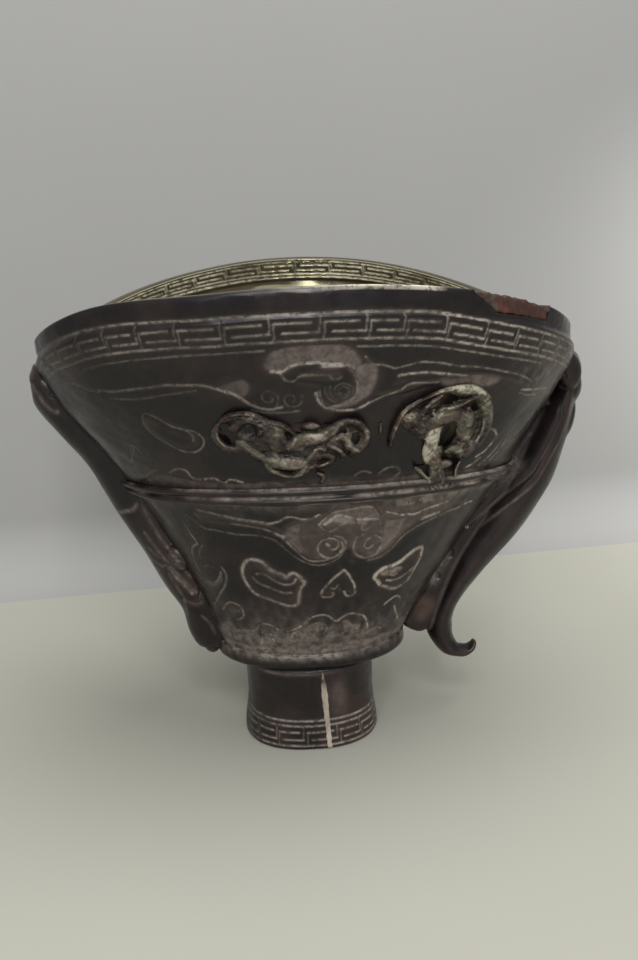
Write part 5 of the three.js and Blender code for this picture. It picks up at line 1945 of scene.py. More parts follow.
TAOTIE_FACE = Drawing((
    Ground(trace("""-120.5 54, -119 57, -115 58.4, -111 57, -106 54.3, -101 54, -98 52, -99.6 48.5,
        -101.5 45.6, -106 46, -112 47.6, -118 49"""), -0.5, 1.2),
    Ground(trace("""-69.3 52, -66 53.8, -60.5 54.6, -56.5 57.4, -52.6 58, -50.8 54.5, -52 49.4, -57 48,
        -62 49, -67 51"""), -0.5, 1.2),
    Ground(trace("""-83.3 54.6, -87.8 50.5, -89.6 48, -86.5 47.6, -85 49, -83.4 50, -81.5 48.6,
        -78 47.4, -77.4 48.4, -80 52"""), -0.35, 0.8),
    Ground(trace("-68 53, -64 54, -59.5 54.2, -58.5 53.2, -62 52.6, -66 52.4"), 0.2, 0.5, 0.3, 0.8),
), (
    Motif(Tool.GRAVER, traces("""-121.5 54, -121 56, -119.5 57.7, -117.5 59, -115 59.3, -112.5 58.8,
        -110.5 57.5, -109 56.2, -106 55, -103.5 54, -102.3 54.7, -100.5 55, -98.7 54, -97.3 52.7,
        -96.8 51.8, -98.5 49.8, -99 47.5, -99.5 45.3, -101.5 44.7, -104 44.8, -107 45.5, -110 46.3,
        -114 47.2, -117 48, -119.5 49.5, -121 52; -70 52, -69 53.5, -66.5 54.5, -64 54.7, -61 55.5,
        -58.5 57, -56 58.5, -54 59, -52 58.8, -51 57.3, -50 55, -50.5 51, -50.5 49, -52.5 48, -55.5 47,
        -58.5 47.2, -62 48, -65.5 49, -68 50.7"""), closed=True),
    Motif(Tool.LINE, traces("""-115 55.2, -112.5 55.3, -110.5 54.5, -108 53, -105.5 52, -103 51.7,
        -101 52.2, -100 53.3; -117 54, -116 52.8, -113 51.5, -110 50.7, -107 49.7, -104.5 49.2,
        -102 49.3; -83.3 55.3, -85 54, -87 52.5, -88.7 50.7, -90 49, -90.2 47.7, -89.3 47, -87 47,
        -85.8 47.5, -86 48.5; -83.3 55.3, -81.5 54, -79.5 52, -77.7 50, -76.7 48, -77 47, -79 46.8,
        -80.5 47.3, -81.5 48.5; -64 50.7, -60.5 50.3, -57 50.7, -54 52, -52.5 53""")),
    Motif(Tool.SCRATCH, traces("-64.5 52.8, -62 52, -60 52.3; -87 50, -85.5 49.8, -84.5 51")),
))

END_SCROLLS = Drawing((
    Ground(trace("""-148 50.2, -143 50.3, -139 50.5, -136.5 51.5, -134 53, -132.5 54.3, -134 51.5,
        -139 49.3, -145 48.6, -149 49"""), 0.35, 0.5, 0.2, 0.8),
), (
    Motif(Tool.LINE, traces("""-143 41, -139 43, -135 44.3, -131.5 44.3, -128.7 43.5, -128 42.3,
        -128.3 41, -129.5 39.8, -132 39, -135 38.5; -58.5 42, -56.5 43, -53.5 44, -50.5 43.5, -48 42.3,
        -47 41; -50 40.3, -47 38.5, -44 37, -41 35.5; -148 50.2, -143 50.3, -139 50.5, -136.5 51.5,
        -134 53, -132.5 54.3; -131 56, -130 54, -131 52, -133.5 49.8, -137 47.8, -141 45.8, -146 43.5,
        -150 42; -141 69, -140 66, -138.5 63, -141 62, -144 60.5, -146 58, -147.3 55, -147 53""")),
    Motif(Tool.SCRATCH, traces("""-136 42, -133 41.7, -130.5 41.7; -136 62.5, -140 60, -141.5 57.5;
        -142 55, -138.5 55.8, -136 55.2""")),
))

BOTTOM_CLOUDS = Drawing((
    Ground(trace("""-98 35.5, -96 37.2, -93 38.7, -90 38.8, -87.5 37.5, -88.5 36, -90 35.5, -92 34.5,
        -95 34"""), 0.3, 0.5, 0.2, 0.85),
    Ground(trace("""-79 38.5, -77 39, -74.5 38, -73 37, -70 37.5, -68 36.5, -69 35, -72 34.8, -75 34.5,
        -77.5 36"""), 0.3, 0.5, 0.2, 0.85),
    Ground(trace("""-137 34.6, -131 35, -126 35.1, -122 35, -121 32.6, -126 31.6, -132 31.6,
        -137 32"""), 0.25, 0.6, 0.15, 0.8),
    Ground(trace("""-150 30.6, -130 31, -110 31.4, -90 31.3, -70 31.6, -50 31.2, -30 30.8, -30 28.3,
        -60 28.3, -90 28.3, -120 28.3, -150 28.3"""), 0.15, 0.8, 0.3, 0.9),
), (
    Motif(Tool.LINE, traces("""-137 34.7, -131 35.3, -126 35.5, -123 36.2, -121 37.5, -118 38.3,
        -115 38.2, -112 37.6, -110 36.5; -105 36, -101 37, -98 38, -96 39.2, -94 40.5, -91 41.2,
        -88.5 41.2, -86 40.5, -84 39.3, -82 38.8, -80 39.8, -77 40.8, -74 40.8, -71 40.2, -68 39.2,
        -65 37, -63 35; -103.5 34.5, -102.5 35.5, -101 35.5, -100 34.2, -101 33, -103 33; -121.5 31.5,
        -120 33.5, -119.5 35.5, -117 36, -115 35.2, -114 34, -113 33""")),
    Motif(Tool.SCRATCH, traces("""-90 38.7, -87.5 38, -86.2 36.5, -87 35.3, -89 35; -88.5 34.8,
        -86 34.2, -82 34, -78.5 34.2, -76 35; -62 33, -58 34.4, -54 34, -51 32.6; -148 35, -144 37,
        -141 36.4, -140 34.6""")),
))

CENTRE_MASSES = (
    Mass(trace("""-112.6 99.4 0.6, -110.5 100.3 0.9, -107.5 100.6 1, -105 100 1, -102.5 98.4 0.9,
        -99.8 97.4 0.8, -97.8 95.8 0.7, -96.4 94.2 0.6"""), 1.5, 2.0),
    Mass(trace("""-113.8 98.6 0.5, -115 96.6 0.8, -114.9 94.2 0.9, -113.6 92.2 0.9, -111.4 91.8 0.8,
        -109.6 92.8 0.8"""), 1.3, 1.6),
    Mass(trace("""-110 97.6 0.6, -107.4 98.4 1, -104.6 97.6 1.1, -102.6 95.6 1.05, -101.6 93 1,
        -101.6 90.8 0.8"""), 2.4, 3.0),
    Mass(trace("-101.2 96.8 0.8, -100 95.2 1, -99.4 93 1, -99.4 91.2 0.7"), 1.3, 3.5),
    Mass(trace("-104.9 95.6 1, -104.5 95.5 1"), 1.1, 3.6),
    Mass(trace("""-110.4 93.8 0.6, -108.6 92.6 0.9, -107.2 91 1, -105.6 89.7 1, -104.1 88.4 1,
        -102.6 87.4 0.9"""), 1.5, 2.1),
    Mass(trace("-103.2 88.2 0.8, -101.6 88 1, -99.4 87.4 1.05, -97.2 86.8 1, -95.8 86.6 0.6"), 2.1, 3.1),
    Mass(trace("""-104.9 87.2 0.6, -103.6 85.4 0.9, -101.5 84.3 1, -98.9 83.7 1, -96.4 84.3 1, -94.6 85.5 1,
        -92.9 86.6 0.8"""), 0.95, 2.4),
    Mass(trace("""-98.8 91.6 0.5, -97.2 92.8 0.9, -95 93.4 1.05, -92.6 93.3 1.05, -90.4 94.4 0.9,
        -89 95.8 0.7"""), 2.2, 3.8),
    Mass(trace("-94.6 96.6 0.8, -93.3 97 1, -92 96.5 0.8"), 1.2, 2.7),
    Mass(trace("""-89.4 95.3 0.8, -88.2 96.7 1, -86.2 97.6 1, -84.2 97.2 1, -82.7 95.8 1, -81.9 93.9 1,
        -82.1 91.9 1, -83.3 90.1 0.9, -84.9 89.2 0.8"""), 1.15, 3.1),
    Mass(trace("-88.4 93.3 0.8, -87 93.5 1, -86 92.6 1, -85.6 91.2 1, -84.6 90.2 0.8"), 1.0, 2.6),
    Mass(trace("-86 92.9 1, -85 94.4 0.8"), 0.7, 2.4),
    Mass(trace("-95.3 86.9 0.7, -94.4 88.4 1, -93.2 89.9 1, -91.9 90.6 0.9, -90.8 90.3 0.7"), 1.05, 2.8),
    Mass(trace("-90.8 91.8 0.6, -89.4 91.2 0.9, -88 90 1, -86.8 88.6 0.8"), 1.1, 2.6),
    Mass(trace("""-92.2 88.6 0.8, -90.6 89 1, -89.2 88.3 1, -89.6 87 0.9, -91 86.4 0.9,
        -92.2 85.9 0.7"""), 1.0, 2.5),
    Mass(trace("-92.6 84.3 0.8, -91.4 83.6 1, -91.3 82.4 0.9, -92 81.6 0.6"), 0.7, 1.3),
    Mass(trace("-106.5 96 1, -100 91 1, -96 90 1, -90 91.5 1"), 3.6, 1.6),
)
CENTRE_DETAIL = Drawing((
    Ground(trace("-104.6 86.4, -99 85.4, -95 86.2, -96 88.4, -101 88.2"), 0, 0.7, 1.0, 1.0),
    # Painted highlight: pale wax and dust on the top of the warm body.
    Ground(trace("-94.6 94.4, -91.4 94.6, -90.4 93, -93.6 92.6"), 0, 0.6, 1.2, 1.0),
    Ground(trace("-87.8 94.6, -85 95.6, -83 94, -83.2 91, -85.4 90, -87.4 91.4"), 0, 0.6, 0.7, 0.8),
    Ground(trace("-108.8 97.4, -107 98, -105.4 97.2, -105.4 95.4, -107 94.8, -108.7 95.6"), 1.5, 0.9),
    Ground(trace("-113.6 96.3, -112 96.7, -110.9 95.4, -111.2 93.6, -112.6 93, -113.7 94.4"), 0.9, 0.7),
    Ground(trace("""-110.4 94.2, -108.5 93.4, -106.6 91.2, -104 89, -104.4 88, -106.6 89.4, -108.6 91.4,
        -110.2 92.8"""), 0.1, 0.5, 0.1, 0.85),
    Ground(trace("""-103.4 88.9, -102.4 89.4, -101.4 88.6, -101.6 86.9, -102.7 86.4,
        -103.5 87.4"""), -0.35, 0.6, 0.35, 0.5),
    Ground(trace("""-97.2 94.4, -95.6 95.2, -92.6 95, -91.4 93.6, -92.6 91.9, -95.6 91.7,
        -97.4 92.6"""), 0, 0.7, 0, 0.75),
    Ground(trace("""-98.8 92.4, -97 91.8, -95 91.4, -95 90.7, -97.6 90.8,
        -99 91.4"""), -0.1, 0.4, 0.25, 0.6),
    Ground(trace("""-95.2 87.4, -94.2 89.6, -92.8 90.2, -92.4 89.2, -93.4 87.6,
        -94.8 86.5"""), 0, 0.4, 0.2, 0.7),
    Ground(trace("-88.3 94.4, -87.2 94.9, -86.5 94.2, -87.3 93.7"), 0.8, 0.4),
    Ground(trace("-85.2 94.6, -84.3 94.4, -84.2 92.6, -85 92.4"), 0.8, 0.4),
    Ground(trace("-88.2 92.6, -87.2 92.8, -86.6 91.6, -87.4 91"), 0.8, 0.4),
), (
    Motif(Tool.STRAND, traces("""-112.4 100, -109.8 100.9, -106.6 100.9, -104.6 100, -102.2 98.4,
        -99.6 97.6, -97.9 96.1, -96.6 94.8; -109 99.4, -106.6 99.6, -104.8 98.6; -101.5 84.7,
        -98.9 84.1, -96.6 84.7, -94.8 85.9""")),
    Motif(Tool.SHADOW, traces("""-112.8 98.2, -110.4 99, -107.2 99.1, -104.2 98, -102.6 96.6,
        -101.8 94.6, -102 92.4; -103.4 92.6, -103 90.8, -101 89.8, -98.6 89.7, -96.6 90; -104.2 86.2,
        -102 85.4, -99 84.9, -96.4 85.4, -95 86.8, -95.6 88.6, -94.8 90.6, -92.6 91.5, -90.6 92.2,
        -89.2 93.8; -90.2 90, -88.8 89.6, -88.2 88.2, -89.2 86.6, -91.4 85.4; -104.6 84.2, -101.6 83.2,
        -98.8 82.7, -96 83.3, -93.8 84.9; -87.6 96.1, -85.8 96.4, -84.2 95.9, -83.4 94.6, -83.1 92.8,
        -83.8 91.2; -98.4 95.4, -97.6 94, -98 92.6; -105.8 94.4, -104.8 94.1, -103.8 94.6, -103.6 95.8,
        -104.4 96.7""")),
    Motif(Tool.LINE, traces("""-98.9 91.2, -97.8 92.2, -97 93.6; -93 90.5, -91.9 90.9, -90.9 90.4;
        -88.4 93.2, -87.2 93.3, -86.2 93.6, -85.6 94.5; -86.3 93.4, -86 92, -85.6 91; -85.8 91.4,
        -84.6 90.3, -83.4 89.4; -87.6 91.9, -86.2 91.6; -89.6 91.3, -88.6 90.6, -87.6 89.8; -92.3 86.3,
        -91.3 86.4, -90.4 87; -92.5 84.1, -91.3 83.4, -91.5 81.9; -103.9 85.4, -101.6 84.2, -98.9 83.4,
        -96.5 84""")),
    Motif(Tool.SCRATCH, traces("""-98.9 88.9, -97.4 86.6; -98.1 89, -96.7 86.8; -97.4 88.9, -96.1 87.2;
        -99.7 88.6, -98.3 86.3; -100.5 88, -99.4 86.1; -89.2 95, -88.4 96.2; -88.4 96.4, -87.2 97.2;
        -82.4 95, -81.7 93; -82.4 92.6, -83.2 90.8; -110.6 93.4, -108.8 92.2, -107.6 90.6, -106 89.4;
        -114.8 96.4, -114.8 94.4, -113.8 92.8; -100.9 96.6, -100.8 95; -107.4 100, -105.6 99.6;
        -108 91.6, -106.4 90; -90.6 88.4, -89.8 88, -90.2 87.3""")),
))
RIGHT_MASSES = (
    Mass(trace("""-75.9 90.8 0.6, -75.6 93.2 0.9, -75 95.7 1, -74.2 98.2 1, -73 100.2 1, -70 102.2 1,
        -67.5 103.6 1, -65 104.9 0.9, -63 105.9 0.7"""), 0.75, 2.3),
    Mass(trace("-78.6 96.6 0.8, -78.5 94.4 0.8"), 0.6, 1.3),
    Mass(trace("-64.8 103.6 0.7, -66.4 102.4 1, -68 100.8 1, -69.6 99 1, -70.8 97.6 0.8"), 0.8, 3.0),
    Mass(trace("""-54.8 103.4 0.7, -57 102.3 1, -59.4 101 1, -61.8 100.2 1, -64.4 99.7 1,
        -65.8 98.4 0.8"""), 0.85, 3.4),
    Mass(trace("""-72.6 98 0.6, -70.6 97.4 1, -68 96.8 1.1, -65 97 1.1, -62 98.4 1,
        -59.6 99.2 0.8"""), 2.6, 2.9),
    Mass(trace("-71.4 95.4 0.7, -69 94.6 1, -67 93.6 1"), 2.0, 2.3),
    Mass(trace("-64.8 93.4 1, -64.6 91 1, -64.9 88.6 0.9, -64.8 86.2 0.6"), 2.0, 2.0, 0.3),
    Mass(trace("""-62.4 104.9 0.8, -58.6 105 1, -55.4 104.2 1, -52.4 102.2 1, -50.4 99.4 1, -48.8 96.2 1,
        -48.4 92.8 1, -49.6 89.6 1, -52 87.4 0.9"""), 2.1, 3.0),
    Mass(trace("-57.6 98.4 0.8, -55.6 97.4 1, -54.6 95.4 0.9"), 1.9, 2.9),
    Mass(trace("-56 93 1, -53.4 92 1, -52.4 90 0.9"), 2.4, 1.9),
    Mass(trace("-59.8 88 0.7, -57.6 88.6 1, -55.4 87.9 1, -54 86.8 0.8"), 1.5, 3.4),
    Mass(trace("-60.2 84.4 0.9, -58.4 84.2 1, -57.2 84 0.9"), 1.5, 3.6),
    Mass(trace("""-62 88.6 0.6, -62.4 86 0.9, -61 83 1, -59.4 80.4 1, -58 78.4 0.95,
        -57.6 76.6 0.6"""), 2.3, 3.4, 0.45),
    Mass(trace("""-67.6 84 0.7, -66 82.8 1, -64.2 81.2 1, -62.5 80 1, -61.6 78.4 0.9,
        -60.8 76.8 0.7"""), 0.6, 3.1),
    Mass(trace("-53.4 84.4 0.8, -53.8 82.4 1, -53 80 1, -53 78.2 0.9, -54.4 76.8 0.7"), 0.6, 3.1),
    Mass(trace("-70 97 1, -64 97.5 1, -58 97 1, -53 95 1, -53 91 1"), 4.0, 1.4),
)
RIGHT_DETAIL = Drawing((
    Ground(trace("""-61.6 95.4, -59.6 95.9, -57.8 94.6, -57 92.4, -57.8 90.8, -60.2 90.9,
        -61.6 92.6"""), 1.4, 0.9),
    Ground(trace("-64 104.2, -61.6 104.4, -60.2 102.6, -61.6 101.4, -64 101.6, -65 102.8"), 0.9, 0.7),
    Ground(trace("-55.4 102.2, -53.8 102, -53.2 100, -54.6 99.2, -55.8 100.6"), 0.8, 0.6),
    Ground(trace("""-66.3 93.6, -62.9 94.9, -62.3 92.4, -62.9 89.9, -63.8 86.5, -64.6 84.9, -65.8 86.5,
        -67.1 88.6, -67.1 90.7"""), 0.1, 0.45, 2.2, 1.0),
    Ground(trace("-64.6 99, -61 99.4, -59 98.4, -60 96.9, -62.6 96.4, -65 97"), 0.25, 0.5, 0.1, 0.7),
    Ground(trace("""-58.4 97.4, -56.6 98.6, -53.8 98, -53.6 95.4, -55.2 94.2,
        -57.4 94.6"""), 0, 0.6, 0.1, 0.75),
    Ground(trace("""-59.4 88.9, -56.6 89.5, -54.2 88.2, -54.2 86.8, -57 87.6,
        -59.2 87.8"""), 0, 0.5, 0.1, 0.85),
    Ground(trace("-60.2 85, -57.4 85, -57 83.4, -59.6 83.2"), 0, 0.5, 0.25, 0.75),
    Ground(trace("-72.6 96.4, -71.4 96.8, -70.8 95.2, -72 93.6, -73 94.6"), 0.9, 0.6),
    # Painted highlight: pale pink wax and dust along the top of the right relief.
    Ground(trace("-66 105, -60 106.4, -55 105.6, -52.6 103.8, -56 104, -62.4 104"), 0, 0.5, 1.1, 1.0),
), (
    Motif(Tool.STRAND, traces("""-75.8 91, -75.5 93.4, -74.9 95.8, -74 98.2, -72.8 100.3, -69.8 102.5,
        -67.3 103.8, -64.8 105; -64.9 103.4, -66.6 102.1, -68.2 100.4, -70.2 98.4; -66 101.2,
        -67.4 99.9, -68.8 98.4; -55 103.2, -57.4 102, -59.6 100.8, -62 100, -64.8 99.5; -65.8 97.4,
        -64.2 96.1, -62.5 96.1, -60.6 96.9; -70.6 96.4, -69.4 95.4, -68 95.6, -67.2 96.8; -70 94.6,
        -68.4 93.8, -66.8 94.6; -53.3 103.6, -51.7 102, -50.4 99.5, -48.8 97, -47.5 94.5, -47.9 91.1,
        -49.2 88.2""")),
    Motif(Tool.SHADOW, traces("""-74.4 91, -74.2 93.6, -73.6 96, -72.8 98.2, -71.6 99.8, -69 101.4,
        -66.6 102.9; -71.8 97.6, -69.8 98, -68.2 98.8, -66.8 100.4, -65.2 101; -68.6 97.4, -67.2 97.8,
        -66.4 98.6; -69.6 96.2, -68.6 96.4, -67.9 97; -72 94.4, -70.6 93.4, -69 92.8, -67.6 92.6;
        -58.8 99.8, -57 100.8, -55.8 102; -52.6 100.6, -51.6 97.8, -51.2 95, -51.6 92, -52.8 89.6;
        -62 90.4, -60 89.8, -57 90.2, -54 90.2; -62.2 87.6, -60.4 86.4, -57.4 86.2, -55 85.2; -63 96,
        -62.2 94, -62.2 91.6; -56.8 82.8, -56 80.6, -56 78.4; -60.8 82.6, -59 82.4, -57.4 82.6""")),
    Motif(Tool.LINE, traces("""-56.7 99.5, -55.4 102.4; -51.6 103.2, -49 102.4, -47.4 101.4; -67.9 84,
        -66.3 82.8, -64.2 81.1, -62.5 80.1, -61.7 78.4; -53.3 84.3, -53.8 82.4, -52.9 79.9, -53 78.2;
        -59.6 88, -58.6 87.6; -50.2 96.6, -49.4 93.4, -50 90.4; -66.2 98.8, -65.6 97.8, -66.2 97;
        -60.4 78.4, -58.6 77.4, -56.4 77.2""")),
    Motif(Tool.SCRATCH, traces("""-74.2 98.9, -72.9 100.8, -70 102.9; -67 102.2, -68.6 100.6; -65.4 102,
        -67 100.6; -68 99.8, -69.4 98.4; -64 99, -62 99.4, -60.4 100; -64.6 97.6, -62.4 98, -60.6 98.8;
        -57.6 97.4, -56 96.6; -57.2 98.2, -55.4 97.2; -55 96.2, -54.2 94.8; -50 100.6, -48.8 98.4;
        -52 104, -50.4 102.6; -55.6 92.2, -53.6 91.4, -52.6 90.2; -49 98.8, -47.6 96; -61.6 86,
        -60.2 83, -58.8 80.6; -58.4 82, -57.4 80.2, -57.2 78.6""")),
))

HAND_WARP = trace("""-125.1 -125.1, -116.5 -116.5, -107.9 -107.5, -99.4 -98.7, -90.8 -90.3, -82.2 -82.5,
    -73.6 -75.5, -65.1 -67, -56.5 -57.5, -47.9 -48.8, -39.4 -39.8, -30.8 -31""")
OUTER_FRET = FretBand(
    units=42, first=-116.5, low=118.3, high=124.6, lower_stroke=120.1, upper_stroke=122.4, pair=1.0,
    margin=1.2, lean=trace("""-150 0, -135 0.1, -125 0.2, -117 0.35, -108 0.2, -100 0, -70 0, -62 -0.9,
        -55 -1.6, -45 -2, -30 -2, 0 -1, 90 0"""),
)
INNER_FRET = FretBand(
    units=42, first=-116.5, low=125.7, high=129.35, lower_stroke=126.8, upper_stroke=128.2, pair=0.8,
    margin=1.0, stroke=Tool.FINE,
)
FOOT_FRET = FretBand(
    units=15, first=-98.0, low=1.4, high=7.2, lower_stroke=3.1, upper_stroke=5.3, pair=3.0, margin=3.4,
    slant=0.0, uneven=False,
)


def cut_outer_wall(skin: Skin) -> None:
    """Cuts the key fret, the ruyi panel, the ribbons and the clouds of the upper wall."""
    uneven = ripple(skin.points, 14.0, 0.1, 1) + ripple(skin.points, 4.0, 0.03, 2)
    skin.level += uneven - 0.2 * ease((skin.heights[:, None] - 104) / 8)
    for drawing in (UPPER_RUYI, UPPER_RIBBONS, LEAF_EYE, UPPER_CLOUDS):
        drawing.cut(skin)
    band = OUTER_FRET
    skin.engrave(Tool.LINE, [band.border(band.high), band.border(band.low)])
    second = band.border(116.4)
    near = [place for place in second if -146 <= place[0] <= -99.5]
    after = [place for place in second if -84 <= place[0] <= -34]
    skin.engrave(Tool.SCRATCH, both_sides([near, after]))
    band.cut(skin)
    fade(skin)
    heights = skin.heights[:, None]
    crumbs = 0.5 + ripple(skin.points, 4.0, 0.3, 36) + ripple(skin.points, 1.6, 0.2, 37)
    end = hump(-abs(skin.degrees), -26, 11) * hump(heights, 113, 8)
    skin.add_dust(end * crumbs * 1.4)
    skin.add_wax(end * (crumbs - 0.6) * 1.6, 0.8)
    skin.level += 0.12 * end * (crumbs - 0.5)
    skin.add_dust(ease((83.5 - heights) / 3) * skin.along("-150 0.35, -110 0.6, -60 1") * crumbs * 1.3)


def fade(skin: Skin) -> None:
    """Scales the carving's wax and dust down towards the spout and up towards the handle, alike on both
    sides.
    """
    left = skin.along("-180 0.2, -150 0.3, -135 0.45, -125 0.65, -110 0.8, -85 1, -65 1.35, -40 1.45")
    skin.wax *= left
    skin.dust *= left


def cut_inner_wall(skin: Skin) -> None:
    """Cuts the key fret inside the rim."""
    skin.level += ripple(skin.points, 12.0, 0.06, 3)
    band = INNER_FRET
    skin.engrave(band.stroke, [band.border(band.high), band.border(band.low), band.border(band.low - 1.0)])
    band.cut(skin)


def cut_lower_wall(skin: Skin) -> None:
    """Cuts the lower ruyi panel, the taotie face, the end scrolls and the clouds at the bottom."""
    skin.level += ripple(skin.points, 11.0, 0.1, 4) + ripple(skin.points, 3.5, 0.03, 5)
    for drawing in (LOWER_RUYI, TAOTIE_FACE, END_SCROLLS, BOTTOM_CLOUDS):
        drawing.cut(skin)
    fade(skin)
    heights = skin.heights[:, None]
    low = 0.7 * ease((38.5 - heights) / 5) + 0.3 * ease((50 - heights) / 14)
    crumbs = 0.6 + ripple(skin.points, 5.0, 0.25, 31)
    skin.add_dust(0.85 * low * crumbs)
    skin.add_wax(low * (crumbs - 0.4), 0.25)
    under = hump(heights, 75.6, 1.6) * skin.along("-150 0.2, -100 0.6, -60 1")
    skin.add_dust(under * (0.8 + ripple(skin.points, 16.0, 0.3, 38)))
    skin.add_wax(under * (0.5 + ripple(skin.points, 12.0, 0.4, 39)))
    skin.add_wax(0.75 * hump(heights, 29.4, 1.0) * np.clip(0.55 + ripple(skin.points, 5.0, 0.5, 33), 0, 1))
    right = ease((skin.degrees + 64) / 20) * ease((-18 - skin.degrees) / 10)
    skin.add_dust(0.35 * right * crumbs)


def wear_ribs(skin: Skin) -> None:
    """Rubs the ribs unevenly and leaves dust and wax between them; the pale streaks, strongest towards the
    handle, are partly a painted highlight.
    """
    skin.level += ripple(skin.points, 9.0, 0.1, 7)
    middle = skin.heights.mean()
    beside = np.minimum(abs(skin.heights - middle),
                        np.minimum(skin.heights - skin.heights[0], skin.heights[-1] - skin.heights))
    along = skin.along("-180 0.35, -130 0.6, -100 1, -60 1.5, 0 1.2")
    dust = hump(beside, 0.0, 0.72)[:, None] * (0.8 + ripple(skin.points, 7.0, 0.4, 8)) * along
    skin.add_dust(dust)
    # This wax is partly a painted highlight on the ribs.
    skin.add_wax(1.7 * dust - 0.5, 1.3)


def cut_foot(skin: Skin) -> None:
    """Cuts the foot's key fret and its borders, and lays pale dust beside the split and under the ledge as
    painted highlights.
    """
    skin.level += ripple(skin.points, 9.0, 0.08, 9)
    band = FOOT_FRET
    skin.engrave(Tool.LINE, [band.border(band.high), band.border(band.high + 1.5), band.border(band.low)])
    band.cut(skin)
    heights, degrees = skin.heights[:, None], skin.degrees[None, :]
    split = np.interp(skin.heights, (0.3, 23.2), (-77.5, -82.0))[:, None]
    # Painted highlight: pale dust to the right of the split.
    skin.add_dust(0.75 * hump(degrees - split, 10, 9) * hump(heights, 15, 5))
    # Painted highlight: a pale stripe just under the ledge, strongest towards the spout.
    skin.add_dust(hump(heights, 22.6, 0.5) * np.interp(degrees, (-180, -125, -95, -60), (0, 1, 0.9, 0.1)),
                  0.9)


# ---------------------------- studio


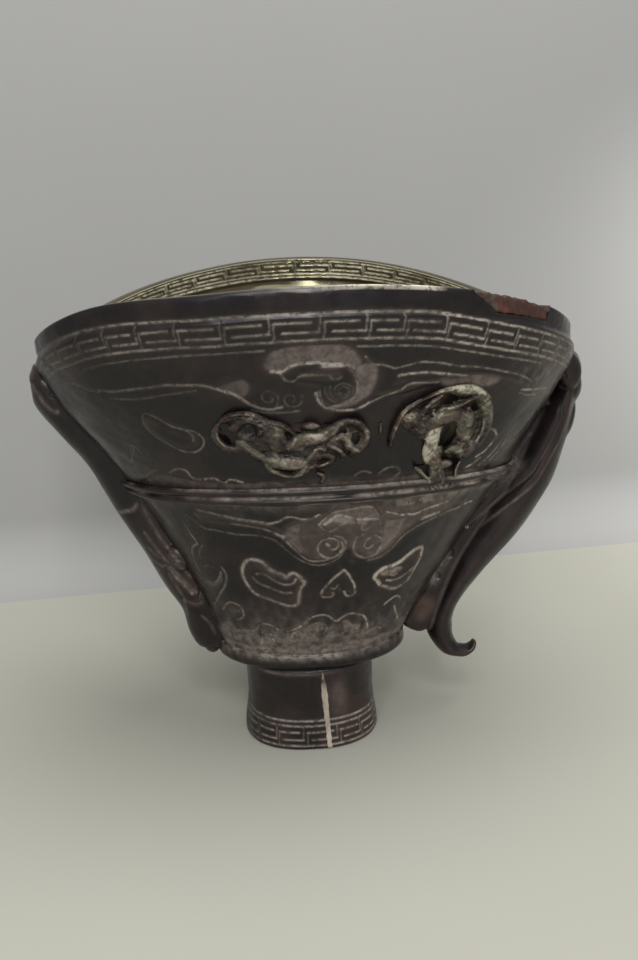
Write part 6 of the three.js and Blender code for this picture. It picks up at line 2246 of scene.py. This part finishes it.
@dataclass
class Studio:
    """Camera, lamps, floor and backdrop."""

    lens: float = 42.0
    pitch: float = 15.0
    azimuth: float = -4.0
    roll: float = -2.0
    eye: tuple[float, float, float] = (-19.73, -299.27, 153.0)
    fold: tuple[Place, Place] = ((-117.8, 128.0), (151.2, 157.0))
    bend: float = 26.0
    floor_colour: Colour = (0.455, 0.45, 0.385, 1)
    wall_colour: Colour = (0.39, 0.385, 0.372, 1)

    def camera(self) -> None:
        """Places the camera as the photograph's."""
        turn, dip, roll = (math.radians(v) for v in (self.azimuth, self.pitch, self.roll))
        ahead = np.array([-math.sin(turn) * math.cos(dip), math.cos(turn) * math.cos(dip), -math.sin(dip)])
        right = np.array([math.cos(turn), math.sin(turn), 0.0])
        up = np.cross(right, ahead)
        side = math.cos(roll) * right + math.sin(roll) * up
        top = -math.sin(roll) * right + math.cos(roll) * up
        data = bpy.data.cameras.new("camera")
        data.lens, data.sensor_width, data.sensor_fit = self.lens, 36.0, "AUTO"
        data.clip_start = 0.01
        camera = bpy.data.objects.new("camera", data)
        camera.matrix_world = Matrix.Translation(np.array(self.eye) * MM) @ turn_to(side, top, -ahead)
        bpy.context.scene.collection.objects.link(camera)
        bpy.context.scene.camera = camera

    def sheet(self) -> None:
        """Floor and backdrop, folded behind the cup."""
        (x0, y0), (x1, y1) = self.fold
        along = np.array([x1 - x0, y1 - y0, 0.0])
        along /= np.linalg.norm(along)
        back = np.array([-along[1], along[0], 0.0])
        middle = np.array([(x0 + x1) / 2, (y0 + y1) / 2, 0.0])
        profile = [(-900.0, 0.0), (-500.0, 0.0), (-200.0, 0.0), (-self.bend, 0.0)]
        profile += [(-self.bend + self.bend * math.sin(a), self.bend - self.bend * math.cos(a))
                    for a in np.linspace(0.1, math.pi / 2, 14)]
        profile += [(0.0, 200.0), (0.0, 900.0), (-self.bend, 0.0), (900.0, 0.0)]
        spans = np.linspace(-900, 900, 13)
        grid = np.array([[middle + along * span + back * (depth + 8) + (0, 0, height) for span in spans]
                         for depth, height in profile])
        quads = grid_faces(*grid.shape[:2], close_columns=False)
        strip = len(spans) - 1
        boards = (("floor_board", quads[:4 * strip], self.floor_colour, False),
                  ("back_board", quads[4 * strip:-2 * strip], self.wall_colour, True),
                  ("floor_behind", quads[-strip:], self.floor_colour, False))
        for name, part, colour, one_sided in boards:
            board = make_mesh(name, grid.reshape(-1, 3), part)
            board.data.shade_smooth()
            board.data.materials.append(StageFinish(f"{name}_finish", colour, one_sided=one_sided).material())

    def lamp(self, name: str, place: tuple, aim: tuple, size: tuple[float, float], watts: float,
             spread: float = 180) -> None:
        """Adds a soft box.

        Args:
            name: Its name.
            place: Where it is, in mm.
            aim: Where it points.
            size: Width and height in mm.
            watts: Power.
            spread: Angle that it shines into.
        """
        data = bpy.data.lights.new(name, "AREA")
        data.shape, data.size, data.size_y = "RECTANGLE", size[0] * MM, size[1] * MM
        data.energy, data.spread = watts, math.radians(spread)
        lamp = bpy.data.objects.new(name, data)
        spot, target = (np.array(v, float) * MM for v in (place, aim))
        lamp.matrix_world = Matrix.Translation(spot) @ look_along(target - spot)
        bpy.context.scene.collection.objects.link(lamp)

    def build(self) -> None:
        """Makes all of it."""
        self.camera()
        self.sheet()
        world = bpy.data.worlds.new("room")
        world.use_nodes = True
        Tree(world.node_tree).fill(world.node_tree.nodes["Background"], {
            "Color": (0.95, 0.97, 1.0, 1), "Strength": 0.42,
        })
        bpy.context.scene.world = world
        self.lamp("ceiling_lamp", (90, -60, 700), (0, 0, 60), (500, 500), 3.3)
        self.lamp("front_lamp", (-60, -600, 560), (0, 0, 80), (400, 200), 1.0)
        self.lamp("window_lamp", (5, -520, 380), (0, 46, 115), (36, 300), 1.0)
        self.lamp("second_window_lamp", (-190, -520, 380), (0, 46, 115), (44, 300), 0.3)
        self.lamp("backdrop_lamp", (240, 60, 150), (265, 170, 60), (140, 60), 0.13, spread=140)
        bpy.context.scene.view_settings.view_transform = "Standard"


def look_along(direction: np.ndarray) -> Matrix:
    """Turn that points a lamp's -Z along a direction, with its top up.

    Args:
        direction: Where it shines.

    Returns:
        The turn as a 4 by 4 matrix.
    """
    back = -direction / np.linalg.norm(direction)
    side = np.cross([0.0, 0.0, 1.0], back)
    side = side / np.linalg.norm(side) if np.linalg.norm(side) > 1e-6 else np.array([1.0, 0, 0])
    return turn_to(side, np.cross(back, side), back)


def turn_to(*axes: np.ndarray) -> Matrix:
    """Turn with the given directions for its X, Y and Z."""
    turn = Matrix.Identity(4)
    for column, axis in enumerate(axes):
        for row in range(3):
            turn[row][column] = axis[row]
    return turn


def main() -> None:
    """Builds the cup and the studio round it."""
    logging.basicConfig(level=logging.INFO, format="%(name)s %(message)s")
    finishes = Finishes()
    UpperBowl().build(cut_outer_wall, cut_inner_wall, finishes)
    LowerBowl().build(cut_lower_wall, finishes)
    WaistRing().build(wear_ribs, finishes)
    Foot().build(cut_foot, finishes)
    HandleDragon().build(finishes)
    SpoutDragon().build(finishes)
    ReliefDragon(
        "centre_relief", "relief_dragon_centre", "relief_dragon_far_centre", CENTRE_MASSES, CENTRE_DETAIL,
        (-117.5, -79.5), (80.5, 103.2), (0.05, -0.955, 0.29), "rosy",
    ).build(finishes)
    ReliefDragon(
        "right_relief", "relief_dragon_right", "relief_dragon_far_right", RIGHT_MASSES, RIGHT_DETAIL,
        (-80.5, -44.5), (75.2, 108.5), (-0.06, -0.955, 0.29), "olive", 1.1,
    ).build(finishes)
    RimRepair().build(finishes)
    for node in KEPT_NODES:
        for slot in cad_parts[node].material_slots:
            slot.material = finishes.brown
        LOG.info("%s: kept", node)
    Studio().build()


if __name__ == "__main__":
    main()
